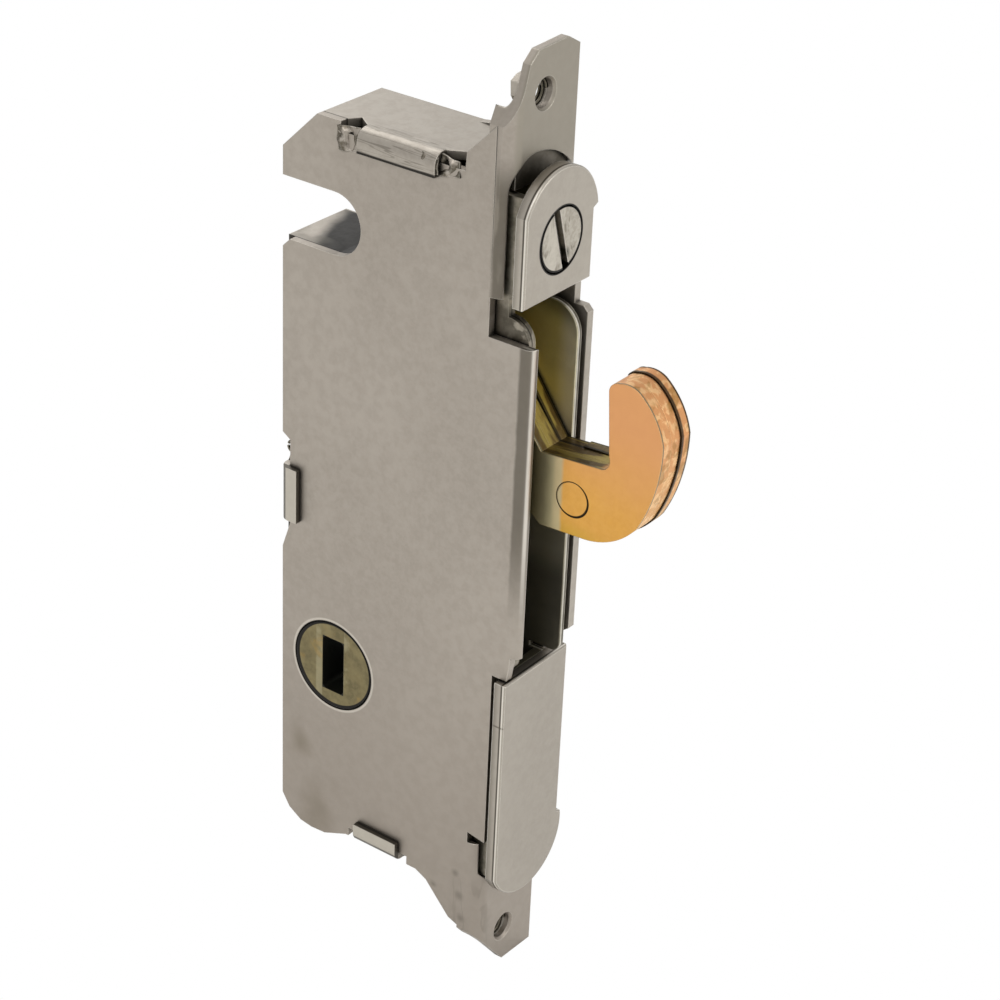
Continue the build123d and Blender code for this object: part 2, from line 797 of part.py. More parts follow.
# Outline of the hook's head and arm, up to a lobe round the pivot
throat_heading = Vector(*hook_point("throat_start")) - Vector(*hook_point("arm"))
hook_outlines = []
for lobe in (inner_lobe_radius, lobe_radius):
    with BuildSketch() as hook_outline:
        with BuildLine():
            Polyline(
                hook_point("belly"),
                hook_point("heel"),
                (pivot_y - lobe_radius, hook_base_z + link_rise),
                on_lobe(lobe, lobe_low_angle),
                (pivot_y, pivot_z),
                on_lobe(lobe, lobe_tangent_angle),
                hook_point("arm"),
                hook_point("throat_start"),
            )
            TangentArc(hook_point("throat_start"), hook_point("throat_end"), tangent=throat_heading)
            Line(hook_point("throat_end"), hook_point("tip_low"))
            ThreePointArc(hook_point("tip_low"), hook_point("tip"), hook_point("tip_high"))
            ThreePointArc(hook_point("tip_high"), hook_point("crest"), hook_point("crown"))
            ThreePointArc(hook_point("crown"), hook_point("brow"), hook_point("front"))
            ThreePointArc(hook_point("front"), hook_point("front_low"), hook_point("chin"))
            ThreePointArc(hook_point("chin"), hook_point("jaw"), hook_point("belly"))
        make_face()
        with Locations((pivot_y, pivot_z)):
            Circle(lobe)
    hook_outlines.append(hook_outline.sketch)
with BuildSketch() as hook_tail:
    with Locations((pivot_y, pivot_z)):
        Circle(lobe_radius)
    with Locations((tail_y, tail_z)):
        Circle(tail_boss_radius)
    make_hull()

# Near and middle hook plates, two blanks of one outline
with BuildPart() as hook_near_plate:
    with BuildSketch(Plane.YZ.offset(hook_near_face)):
        add(hook_outlines[0])
        with Locations((pivot_y, pivot_z)):
            Circle(pivot_radius + running_fit, mode=Mode.SUBTRACT)
        with Locations((rivet_y, rivet_z)):
            Circle(rivet_radius + pin_fit, mode=Mode.SUBTRACT)
        with Locations((inner_rivet_y, inner_rivet_z)):
            Circle(inner_rivet_radius + pin_fit, mode=Mode.SUBTRACT)
    extrude(amount=hook_sheet)
hook_near_plate.part.label = "hook_near_plate"
export_step(hook_near_plate.part, "parts/hook_near_plate.step")
with BuildPart() as hook_middle_plate:
    add(hook_near_plate.part.moved(Location((hook_sheet, 0, 0))))
hook_middle_plate.part.label = "hook_middle_plate"
export_step(hook_middle_plate.part, "parts/hook_middle_plate.step")

# Main hook plate: a rim wider round the head, a larger lobe and the tail
with BuildSketch() as main_outline:
    add(hook_outlines[0])
    offset(amount=hook_rim)
    with BuildLine():
        Polyline(
            hook_point("throat_start"),
            hook_point("throat_end"),
            hook_point("tip_low"),
            (hook_point("tip_low")[0], hook_point("tip_high")[1] + 2 * hook_rim),
            (0, hook_point("tip_high")[1] + 2 * hook_rim),
            (0, hook_point("throat_start")[1]),
            close=True,
        )
    make_face(mode=Mode.SUBTRACT)
    with BuildLine():
        Polyline(
            hook_point("jaw"),
            (hook_point("jaw")[0], hook_base_z - 2 * hook_rim),
            (pivot_y + lobe_radius + hook_rim, hook_base_z - 2 * hook_rim),
            (pivot_y + lobe_radius + hook_rim, pivot_z + lobe_radius + hook_rim),
            (0, pivot_z + lobe_radius + hook_rim),
            (0, pivot_z),
            close=True,
        )
    make_face(mode=Mode.SUBTRACT)
    add(hook_outlines[1])
    add(hook_tail.sketch)
with BuildPart() as hook_main_plate:
    with BuildSketch(Plane.YZ.offset(main_plate_near)):
        add(main_outline.sketch)
        with Locations((pivot_y, pivot_z)):
            Circle(pivot_radius + running_fit, mode=Mode.SUBTRACT)
        with Locations((rivet_y, rivet_z)):
            Circle(rivet_radius + pin_fit, mode=Mode.SUBTRACT)
        with Locations((inner_rivet_y, inner_rivet_z)):
            Circle(inner_rivet_radius + pin_fit, mode=Mode.SUBTRACT)
        with Locations((tail_y, tail_z)):
            Circle(drive_pin_radius + pin_fit, mode=Mode.SUBTRACT)
    extrude(amount=hook_main_sheet)
hook_main_plate.part.label = "hook_main_plate"
export_step(hook_main_plate.part, "parts/hook_main_plate.step")

# Flush rivets through the three hook plates, and the pin in the tail
main_plate_far = main_plate_near + hook_main_sheet
with BuildPart() as hook_rivet:
    with BuildSketch(Plane.YZ.offset(hook_near_face)):
        with Locations((rivet_y, rivet_z)):
            Circle(rivet_radius)
    extrude(amount=main_plate_far - hook_near_face)
hook_rivet.part.label = "hook_rivet"
export_step(hook_rivet.part, "parts/hook_rivet.step")
with BuildPart() as hook_inner_rivet:
    with BuildSketch(Plane.YZ.offset(hook_near_face)):
        with Locations((inner_rivet_y, inner_rivet_z)):
            Circle(inner_rivet_radius)
    extrude(amount=main_plate_far - hook_near_face)
hook_inner_rivet.part.label = "hook_inner_rivet"
export_step(hook_inner_rivet.part, "parts/hook_inner_rivet.step")
with BuildPart() as hook_tail_pin:
    with BuildSketch(Plane.YZ.offset(main_plate_near)):
        with Locations((tail_y, tail_z)):
            Circle(drive_pin_radius)
    extrude(amount=slide_far - main_plate_near)
hook_tail_pin.part.label = "hook_tail_pin"
export_step(hook_tail_pin.part, "parts/hook_tail_pin.step")

# Adjusting screw with a flush slotted head
with BuildPart() as adjusting_screw:
    with BuildSketch(Plane.XZ.offset(face_front)):
        with Locations((0, screw_z)):
            Circle(screw_head_radius)
    extrude(amount=-face_sheet + pin_fit)
    with BuildSketch(Plane.XZ.offset(face_front)):
        with Locations((0, screw_z)):
            Rectangle(screw_slot_width, 2 * screw_head_radius + screw_slot_width, rotation=screw_slot_angle)
    extrude(amount=-screw_slot_depth, mode=Mode.SUBTRACT)
    with BuildSketch(Plane.XZ.offset(face_front - face_sheet)):
        with Locations((0, screw_z)):
            Circle(screw_shank_radius)
    extrude(amount=-screw_length + face_sheet)
    with BuildSketch(Plane.XZ.offset(face_front - face_sheet)):
        with Locations((0, screw_z)):
            Circle(screw_shank_radius)
    extrude(amount=pin_fit)
    chamfer(adjusting_screw.edges().sort_by(Axis.Y)[-1], length=screw_shank_radius * shank_edge_share)
adjusting_screw.part.label = "adjusting_screw"
export_step(adjusting_screw.part, "parts/adjusting_screw.step")

# Retaining clip behind the web, open at one side
with BuildPart() as screw_clip:
    with BuildSketch(Plane.XZ.offset(-web_back - seat_gap / 2)):
        with Locations((0, screw_z)):
            Circle(clip_radius)
            Circle(screw_shank_radius + pin_fit, mode=Mode.SUBTRACT)
        with Locations((0, screw_z - clip_radius)):
            Rectangle(screw_shank_radius, clip_radius, mode=Mode.SUBTRACT)
    extrude(amount=-clip_sheet)
screw_clip.part.label = "screw_clip"
export_step(screw_clip.part, "parts/screw_clip.step")

# Drive hub: two journals in the sides, a collar behind the near side, a through slot
with BuildPart() as drive_hub:
    for hub_start, hub_end, radius in (
        (near_face, near_inner + seat_gap, hub_radius),
        (near_inner + seat_gap, near_inner + seat_gap + hub_collar_width, hub_collar_radius),
        (near_inner + seat_gap + hub_collar_width, far_inner, hub_core_radius),
        (far_inner, far_face, hub_radius),
    ):
        with BuildSketch(Plane.YZ.offset(hub_start)):
            with Locations((hub_y, hub_z)):
                Circle(radius)
        extrude(amount=hub_end - hub_start)
    with BuildSketch(Plane.YZ.offset(near_face)):
        with Locations((hub_y, hub_z)):
            RectangleRounded(hub_slot_width, hub_slot_height, hub_slot_round)
    extrude(amount=case_thickness, mode=Mode.SUBTRACT)
drive_hub.part.label = "drive_hub"
export_step(drive_hub.part, "parts/drive_hub.step")

# Arm pressed on the hub, and its drive pin
with BuildPart() as hub_arm:
    with BuildSketch(Plane.YZ.offset(arm_near)):
        with Locations((hub_y, hub_z)):
            Circle(arm_ring_radius)
        with Locations((drive_pin_y, drive_pin_z)):
            Circle(arm_tip_radius)
        make_hull()
        with Locations((hub_y, hub_z)):
            Circle(hub_core_radius + pin_fit, mode=Mode.SUBTRACT)
        with Locations((drive_pin_y, drive_pin_z)):
            Circle(drive_pin_radius + pin_fit, mode=Mode.SUBTRACT)
    extrude(amount=arm_sheet)
hub_arm.part.label = "hub_arm"
export_step(hub_arm.part, "parts/hub_arm.step")
with BuildPart() as hub_arm_pin:
    with BuildSketch(Plane.YZ.offset(arm_near)):
        with Locations((drive_pin_y, drive_pin_z)):
            Circle(drive_pin_radius)
    extrude(amount=slide_far - arm_near)
hub_arm_pin.part.label = "hub_arm_pin"
export_step(hub_arm_pin.part, "parts/hub_arm_pin.step")

# Drive slide: cross slot for the hook's tail, two guide slots, rear fork and spring lug
cross_front = tail_y - carriage_travel - drive_pin_radius - slot_play
cross_back = pivot_y + tail_radius + drive_pin_radius + slot_play
cross_half_height = drive_pin_radius + slot_play
fork_front = hub_y - arm_radius - drive_pin_radius - slot_play
fork_back = hub_y - hub_core_radius - slot_play
fork_half_height = cross_half_height + fork_prong
guide_slot_height = lift + 2 * stud_radius + 2 * slot_play
with BuildPart() as drive_slide:
    with BuildSketch(Plane.YZ.offset(slide_near)):
        with Locations((stud_y, (tail_z + drive_pin_z - fork_half_height) / 2)):
            Rectangle(2 * slide_bar_half_width, tail_z - drive_pin_z + fork_half_height)
        with Locations(((cross_front + cross_back) / 2, tail_z)):
            Rectangle(cross_back - cross_front + 2 * slide_head_margin, slide_head_height)
        with Locations(((stud_y + fork_back) / 2, drive_pin_z)):
            Rectangle(fork_back - stud_y, 2 * fork_half_height)
        with Locations(((stud_y + slide_bar_half_width + lug_back) / 2, lug_z)):
            Rectangle(lug_back - stud_y - slide_bar_half_width, lug_arm_height)
        with Locations(((cross_front + cross_back) / 2, tail_z)):
            SlotOverall(cross_back - cross_front, 2 * cross_half_height, mode=Mode.SUBTRACT)
        with Locations((fork_front + fork_back, drive_pin_z)):
            SlotOverall(2 * fork_back, 2 * cross_half_height, mode=Mode.SUBTRACT)
        for stud_z in stud_places:
            with Locations((stud_y, stud_z - lift / 2)):
                SlotOverall(
                    guide_slot_height, 2 * (stud_radius + side_play), rotation=90, mode=Mode.SUBTRACT
                )
    extrude(amount=slide_sheet)
    with BuildSketch(Plane.XY.offset(lug_z)):
        with Locations((slide_far - (lug_reach + slide_sheet) / 2, (lug_front + lug_back) / 2)):
            Rectangle(lug_reach + slide_sheet, lug_back - lug_front)
    extrude(amount=lug_sheet)
drive_slide.part.label = "drive_slide"
export_step(drive_slide.part, "parts/drive_slide.step")

# Lock spring: a coil from the slide's lug up to the cup, one unbroken wire
spring_low = lug_z + lug_sheet + spring_wire_radius + seat_gap
spring_high = seat_top - spring_cup_sheet - spring_wire_radius - seat_gap
spring_pitch = (spring_high - spring_low) / spring_turns
spring_halves = 2 * spring_turns


def coil_point(half):
    """Place on the coil's centre line after a number of half turns."""
    angle = half * pi
    height = spring_low + spring_pitch * half / 2
    return Vector(spring_radius * cos(angle), spring_y + spring_radius * sin(angle), height)


def coil_heading(half):
    """Direction of the wire there."""
    angle = half * pi
    rise = spring_pitch / (2 * pi)
    return Vector(-spring_radius * sin(angle), spring_radius * cos(angle), rise).normalized()


with BuildPart() as lock_spring:
    with BuildLine() as coil_line:
        for half in range(spring_halves):
            start, end = coil_point(half), coil_point(half + 1)
            start_heading, end_heading = coil_heading(half), coil_heading(half + 1)
            chord = end - start
            both = start_heading + end_heading
            spread = 2 * (1 - start_heading.dot(end_heading))
            along = chord.dot(both)
            reach = (sqrt(along**2 + spread * chord.dot(chord)) - along) / spread
            joint = (start + end + (start_heading - end_heading) * reach) / 2
            TangentArc(start, joint, tangent=start_heading)
            TangentArc(joint, end, tangent=(end - end_heading * reach - start - start_heading * reach))
    with BuildSketch(Plane(coil_point(0), z_dir=coil_heading(0))):
        RegularPolygon(spring_wire_radius, spring_wire_sides)
    sweep(path=coil_line.wires()[0])
lock_spring.part.label = "lock_spring"
export_step(lock_spring.part, "parts/lock_spring.step")

# Least gap of the coil to itself, between points of neighbouring turns
coil_steps = 24
coil_places = [coil_point(2 * step / coil_steps) for step in range(coil_steps * spring_turns + 1)]
least_gap = min(
    (coil_places[later] - coil_places[earlier]).length - 2 * spring_wire_radius
    for earlier in range(len(coil_places))
    for later in range(earlier + coil_steps // 2, len(coil_places))
)
print("lift of the slide", round(lift, 3), "least gap in the spring", round(least_gap, 3))
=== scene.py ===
import bpy
import json
from math import cos, pi, radians, sin
from mathutils import Matrix, Vector, noise


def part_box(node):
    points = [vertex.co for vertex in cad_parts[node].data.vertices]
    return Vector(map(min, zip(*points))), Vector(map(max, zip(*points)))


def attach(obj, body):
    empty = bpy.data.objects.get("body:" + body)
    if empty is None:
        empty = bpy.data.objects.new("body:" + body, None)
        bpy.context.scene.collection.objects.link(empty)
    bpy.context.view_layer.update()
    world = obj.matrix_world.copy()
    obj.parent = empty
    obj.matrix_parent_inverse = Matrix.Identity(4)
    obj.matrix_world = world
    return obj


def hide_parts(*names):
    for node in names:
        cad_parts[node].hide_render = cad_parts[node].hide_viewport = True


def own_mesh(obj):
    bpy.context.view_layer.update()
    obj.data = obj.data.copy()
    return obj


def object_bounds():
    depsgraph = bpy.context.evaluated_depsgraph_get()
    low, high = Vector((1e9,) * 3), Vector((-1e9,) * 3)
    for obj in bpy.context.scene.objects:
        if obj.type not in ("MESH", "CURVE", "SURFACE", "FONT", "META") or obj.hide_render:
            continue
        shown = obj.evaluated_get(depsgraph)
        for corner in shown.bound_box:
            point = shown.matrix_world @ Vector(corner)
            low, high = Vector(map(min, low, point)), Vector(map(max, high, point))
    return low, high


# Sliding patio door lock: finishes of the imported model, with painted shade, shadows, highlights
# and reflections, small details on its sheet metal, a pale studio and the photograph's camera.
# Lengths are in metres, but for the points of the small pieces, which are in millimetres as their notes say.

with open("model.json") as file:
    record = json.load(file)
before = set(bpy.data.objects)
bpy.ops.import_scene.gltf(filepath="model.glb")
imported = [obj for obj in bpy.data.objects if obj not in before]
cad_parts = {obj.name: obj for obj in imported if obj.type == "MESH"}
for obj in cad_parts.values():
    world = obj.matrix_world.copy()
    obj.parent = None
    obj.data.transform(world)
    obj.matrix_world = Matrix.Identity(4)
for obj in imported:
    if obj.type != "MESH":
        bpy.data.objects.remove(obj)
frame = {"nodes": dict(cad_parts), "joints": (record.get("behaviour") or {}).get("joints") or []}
cadLow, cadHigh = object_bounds()
nodes = frame["nodes"]
mm = 0.001
print("frame loaded with", len(nodes), "nodes")

cameraView = {"azimuth": 54.41, "elevation": 28.85, "roll": 2.66, "lens": 93.61, "sensor": 36.0,
              "place": (-0.181604, -0.126986, 0.127170), "near": 0.01, "far": 20}
studio = {"sky": 0.80, "white": 1.0, "whiteColor": (1, 1, 1, 1), "floorColor": (0.93, 0.93, 0.92, 1.0),
          "floorRoughness": 0.9, "floorDrop": 0.4 * mm, "floorSize": 6.0}
lamps = {
    "keyLamp": {"place": (-0.55, -0.25, 0.75), "size": 0.5, "watts": 3.0},
    "frontLamp": {"place": (0.25, -0.8, 0.35), "size": 0.4, "watts": 2.0},
    "backLamp": {"place": (0.3, 0.6, 0.6), "size": 0.6, "watts": 2.4},
}

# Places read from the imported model
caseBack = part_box("near_side_plate")[1][1]
hubLow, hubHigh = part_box("drive_hub")
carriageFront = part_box("carriage_frame")[0][1]
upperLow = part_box("upper_face_plate")[0]
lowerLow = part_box("lower_face_plate")[0]
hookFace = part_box("hook_near_plate")[0][0]
mainHookLow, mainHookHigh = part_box("hook_main_plate")
rivetLow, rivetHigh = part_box("hook_rivet")
sheet = 0.9 * mm
nearFace = -4.8 * mm
jointFace = nearFace + sheet
hubPlace = (0, (hubLow[1] + hubHigh[1]) / 2, -19.8 * mm)
screwPlace = (0, 0, 33.4 * mm)
rivetPlace = (0, (rivetLow[1] + rivetHigh[1]) / 2, (rivetLow[2] + rivetHigh[2]) / 2)
earHoleZ = 46.83 * mm

# Shader habits shared by every finish
frontOn = (1, 0, 1)
sideOn = (0, 1, 1)
noiseMiddle = 0.5
lineCore = 1 / 3  # share of a drawn line that is solid
shadeSamples = 8
bevelSamples = 6
screenCurve = {"white": 255, "limit": 0.04045, "slope": 12.92, "lift": 0.055, "power": 2.4}


class Socket:  # a shader value that adds, subtracts and multiplies like a number

    def __init__(self, wiring, socket):
        self.wiring = wiring
        self.socket = socket

    def combine(self, operation, first, second):
        made = self.wiring.node("ShaderNodeMath", {"operation": operation}, {0: first, 1: second})
        return Socket(self.wiring, made.outputs[0])

    def __add__(self, other):
        return self.combine("ADD", self, other)

    def __radd__(self, other):
        return self.combine("ADD", other, self)

    def __sub__(self, other):
        return self.combine("SUBTRACT", self, other)

    def __rsub__(self, other):
        return self.combine("SUBTRACT", other, self)

    def __mul__(self, other):
        return self.combine("MULTIPLY", self, other)

    def __rmul__(self, other):
        return self.combine("MULTIPLY", other, self)

    def __abs__(self):
        return self.combine("ABSOLUTE", self, 0.0)


class Wiring:  # the nodes and links of one material or world

    def __init__(self, tree):
        self.tree = tree

    def node(self, kind, settings, inputs):
        made = self.tree.nodes.new(kind)
        for key, value in settings.items():
            setattr(made, key, value)
        for key, value in inputs.items():
            self.plug(made.inputs[key], value)
        return made

    def plug(self, target, value):
        if isinstance(value, Socket):
            value = value.socket
        if isinstance(value, bpy.types.NodeSocket):
            self.tree.links.new(value, target)
        else:
            target.default_value = value


class Paint(Wiring):  # one material and the nodes that make its finish

    def __init__(self, name):
        self.material = bpy.data.materials.new(name)
        self.material.use_nodes = True
        super().__init__(self.material.node_tree)
        self.shader = self.tree.nodes["Principled BSDF"]
        self.coordinates = self.node("ShaderNodeTexCoord", {}, {}).outputs["Object"]

    def vector(self, operation, first, second):
        return self.node("ShaderNodeVectorMath", {"operation": operation}, {0: first, 1: second})

    def noise(self, scale, detail=3.0, stretch=(1, 1, 1), distortion=0.0):
        spread = self.vector("MULTIPLY", self.coordinates, stretch)
        made = self.node("ShaderNodeTexNoise", {}, {
            "Vector": spread.outputs[0], "Scale": scale, "Detail": detail, "Distortion": distortion})
        return Socket(self, made.outputs["Fac"])

    def wave(self, size, scale, detail=3.0):  # noise that shifts a length to both sides
        return (self.noise(scale, detail) - noiseMiddle) * size

    def ramp(self, value, low, high):  # 0 at low, 1 at high, smooth between them
        made = self.node("ShaderNodeMapRange", {"interpolation_type": "SMOOTHSTEP"}, {
            "Value": value, "From Min": low, "From Max": high})
        return Socket(self, made.outputs["Result"])

    def place(self, axis):
        parts = self.node("ShaderNodeSeparateXYZ", {}, {0: self.coordinates})
        return Socket(self, parts.outputs[axis])

    def band(self, value, low, high, soft):  # 1 between low and high
        return self.ramp(value, low - soft, low + soft) * self.ramp(value, high + soft, high - soft)

    def line(self, value, middle, width):  # thin stripe around one value
        return self.ramp(abs(value - middle), width, width * lineCore)

    def away(self, point):  # distance from a point
        return Socket(self, self.vector("DISTANCE", self.coordinates, point).outputs["Value"])

    def reach(self, center, keep):  # distance from a line through the center
        offset = self.vector("SUBTRACT", self.coordinates, center)
        flat = self.vector("MULTIPLY", offset.outputs[0], keep)
        length = self.node("ShaderNodeVectorMath", {"operation": "LENGTH"}, {0: flat.outputs[0]})
        return Socket(self, length.outputs["Value"])

    def crescent(self, center, keep, outer, inner, shift, soft):  # ring that is thicker on one side
        moved = tuple(a + b for a, b in zip(center, shift))
        large = self.ramp(self.reach(center, keep), outer + soft, outer - soft)
        small = self.ramp(self.reach(moved, keep), inner + soft, inner - soft)
        return large * (1.0 - small)

    def creviceShade(self, depth, low, high):  # 1 in corners and gaps, 0 in the open: the mask of painted shade
        shade = self.node("ShaderNodeAmbientOcclusion", {"samples": shadeSamples}, {"Distance": depth})
        return self.ramp(Socket(self, shade.outputs["AO"]), high, low)

    def mix(self, share, first, second):
        made = self.node("ShaderNodeMix", {"data_type": "RGBA"}, {0: share, 6: first, 7: second})
        return Socket(self, made.outputs[2])

    def edges(self, radius, sharpness):  # share of painted edge highlight, and the rounded normal
        bevel = self.node("ShaderNodeBevel", {"samples": bevelSamples}, {"Radius": radius})
        flat = self.node("ShaderNodeNewGeometry", {}, {}).outputs["Normal"]
        match = self.vector("DOT_PRODUCT", bevel.outputs[0], flat)
        off = 1.0 - Socket(self, match.outputs["Value"])
        return self.ramp(off, 0.0, sharpness), bevel.outputs[0]

    def bump(self, height, strength, distance, normal):
        return self.node("ShaderNodeBump", {}, {
            "Height": height, "Strength": strength, "Distance": distance, "Normal": normal}).outputs[0]

    def put(self, **values):
        for key, value in values.items():
            self.plug(self.shader.inputs[key.replace("_", " ")], value)
        return self.material


def rgb(red, green, blue):  # linear colour of a written screen colour from 0 to 255
    curve = screenCurve
    shares = [value / curve["white"] for value in (red, green, blue)]
    linear = [((share + curve["lift"]) / (1 + curve["lift"])) ** curve["power"]
              if share > curve["limit"] else share / curve["slope"] for share in shares]
    return (*linear, 1.0)


class Finish(Paint):  # plated metal: cloudy tone, speckle, stains, painted shade in crevices and hollows, and painted highlights on edges

    def __init__(self, name, look):
        super().__init__(name)
        self.look = look
        self.grain = self.noise(look["grainScale"])
        cloud = self.noise(look["cloudScale"], look["cloudDetail"], look["cloudStretch"])
        cloud = self.ramp(cloud, *look["cloudSpread"])
        speckle = self.noise(look["speckleScale"], look["speckleDetail"])
        self.speckle = self.ramp(speckle, *look["speckleSpread"])
        tone = self.mix(cloud * look["cloudShare"], look["base"], look["pale"])
        tone = self.mix(self.speckle * look["speckleShare"], tone, look["dull"])
        self.rough = look["roughness"] + (self.grain - noiseMiddle) * look["grainRough"]
        self.rough = self.rough + self.speckle * look["speckleRough"]
        grainShare = self.ramp(self.grain, *look["grainSpread"]) * look["grainShare"]
        self.tone = self.mix(grainShare, tone, look["pale"])
        self.relief = self.grain + self.speckle * look["speckleRelief"]
        self.marks = []

    def stain(self, share, color):  # under the painted edge highlights
        self.tone = self.mix(share, self.tone, color)

    def mark(self, share, color):  # over the painted edge highlights
        self.marks.append((share, color))

    def done(self):
        look = self.look
        # painted shade in tight crevices and deep hollows, and painted highlights along the edges
        tightShade = self.creviceShade(look["creviceDepth"], *look["creviceSpread"])
        deepShade = self.creviceShade(look["shadeDepth"], *look["shadeSpread"])
        edgeHighlight, rounded = self.edges(look["edgeWidth"], look["edgeSharpness"])
        patchy = look["edgeLeast"] + self.speckle * (1 - look["edgeLeast"])
        self.stain(deepShade * look["shadeShare"], look["shade"])
        self.stain(edgeHighlight * look["edgeShare"] * patchy, look["edge"])
        self.stain(tightShade * look["creviceShare"], look["creviceShade"])
        for share, color in self.marks:
            self.stain(share, color)
        normal = self.bump(self.relief, look["bumpStrength"], look["bumpDepth"], rounded)
        return self.put(Base_Color=self.tone, Metallic=look["metallic"], Roughness=self.rough, Normal=normal)


plating = {
    "base": rgb(154, 146, 136), "pale": rgb(166, 158, 148), "dull": rgb(144, 136, 126),
    "grainScale": 2600, "grainSpread": (0.40, 0.62), "grainShare": 0.30, "grainRough": 0.12,
    "cloudScale": 60, "cloudDetail": 4, "cloudStretch": (1, 1, 0.6), "cloudSpread": (0.34, 0.68),
    "cloudShare": 0.6,
    "speckleScale": 900, "speckleDetail": 4, "speckleSpread": (0.34, 0.66), "speckleShare": 0.30,
    "speckleRough": 0.05, "speckleRelief": 0.5,
    "edge": rgb(214, 208, 196), "edgeShare": 0.55, "edgeLeast": 0.6,
    "edgeWidth": 0.15 * mm, "edgeSharpness": 0.10,
    "creviceShade": rgb(30, 27, 22), "creviceShare": 0.9, "creviceDepth": 0.7 * mm, "creviceSpread": (0.42, 0.86),
    "shade": rgb(66, 60, 46), "shadeShare": 0.8, "shadeDepth": 5 * mm, "shadeSpread": (0.08, 0.55),
    "roughness": 0.42, "metallic": 0.9, "bumpStrength": 0.14, "bumpDepth": 0.02 * mm,
}
facePlating = dict(plating, base=rgb(160, 153, 143), pale=rgb(170, 163, 152), dull=rgb(150, 143, 133),
                   speckleShare=0.2, edge=rgb(232, 227, 216), edgeShare=0.7, edgeWidth=0.18 * mm,
                   roughness=0.36)
# darker copy of the face plating for the lower face plate: painted shade
lowerShadedPlating = dict(facePlating, base=rgb(152, 145, 135), pale=rgb(163, 156, 146), dull=rgb(143, 136, 126))
innerPlating = dict(plating, base=rgb(104, 98, 85), pale=rgb(130, 124, 110), dull=rgb(78, 73, 58),
                    speckleShare=0.6, edge=rgb(160, 154, 140), edgeShare=0.4)
# dark of joint lines, and of painted shade in gaps, hollows and under tabs
jointAndShadeDark = rgb(22, 20, 16)
# painted shade on bends, the lip, dents and creases
bandShade = rgb(98, 92, 82)
bandPale = rgb(150, 142, 130)
jointLine = {"width": 0.10 * mm, "fade": (2.2 * mm, 2.8 * mm), "share": 0.85}

caseMarks = {
    "wobble": {"size": 0.9 * mm, "scale": 420},
    "lowFade": (0.0, -38 * mm), "lowShare": 0.55, "lowTone": rgb(142, 133, 123),
    "bendFade": (2.0 * mm, 1.4 * mm), "bendAcross": (-2.6 * mm, -3.5 * mm), "bendWobble": 0.5,
    "bendStart": (25.5 * mm, 26.3 * mm), "bendEnd": (42.5 * mm, 38 * mm), "bendShare": 0.9,
    "lipFade": (-1.75 * mm, -2.15 * mm), "lipWobble": 0.3, "lipStart": (-8 * mm, 6 * mm),
    "lipEnd": (26.3 * mm, 25.5 * mm), "lipShare": 0.85,
    "brimFade": (-2.9 * mm, -3.4 * mm), "brimShare": 0.5, "brimTone": rgb(150, 145, 138),
    "cutEdge": (-4.35 * mm, 0.25 * mm), "cutEdgeShare": 0.8, "cutEdgeHighlight": rgb(214, 208, 198),
    "earFade": (0.4 * mm, 0.1 * mm), "earStart": (38 * mm, 41 * mm), "earShare": 0.8,
    "earTone": rgb(140, 134, 122),
    "streakNoise": (500, 4, (1, 1, 0.25)), "streakSpread": (0.50, 0.62), "streakShare": 0.4,
    "hubLight": (5.32 * mm, 0.18 * mm), "hubLightShare": 0.45, "hubGapShade": (5.20 * mm, 5.15 * mm),
    "cloudKeep": (0, 1, 0.6), "cloudWave": {"size": 5 * mm, "scale": 180}, "cloudTone": rgb(126, 117, 104),
    "clouds": [
        {"place": (0, 24.5 * mm, -31.5 * mm), "size": 2.6 * mm, "share": 0.9},
        {"place": (0, 21.9 * mm, -38.5 * mm), "size": 3.6 * mm, "share": 0.7},
    ],
    "dentShadeShare": 0.5, "dentDepth": 14,
    "dents": [
        {"place": (nearFace, 3.1 * mm, -38.5 * mm), "size": 0.7 * mm},
        {"place": (nearFace, 2.5 * mm, -41.2 * mm), "size": 0.9 * mm},
        {"place": (nearFace, 2.2 * mm, -44.0 * mm), "size": 0.8 * mm},
        {"place": (nearFace, 5.9 * mm, -41.3 * mm), "size": 0.6 * mm},
    ],
    "creaseNoise": (360, 2, (1, 1, 0.35), 0.6), "creaseSpread": (0.44, 0.54), "creaseDepth": 3,
    "creaseLine": (0.485, 0.04), "creaseShadeShare": 0.2, "creaseStart": (-38 * mm, -40.5 * mm),
    "creaseFade": (4.2 * mm, 2.6 * mm), "creaseAcross": (-2.4 * mm, -3.2 * mm),
}


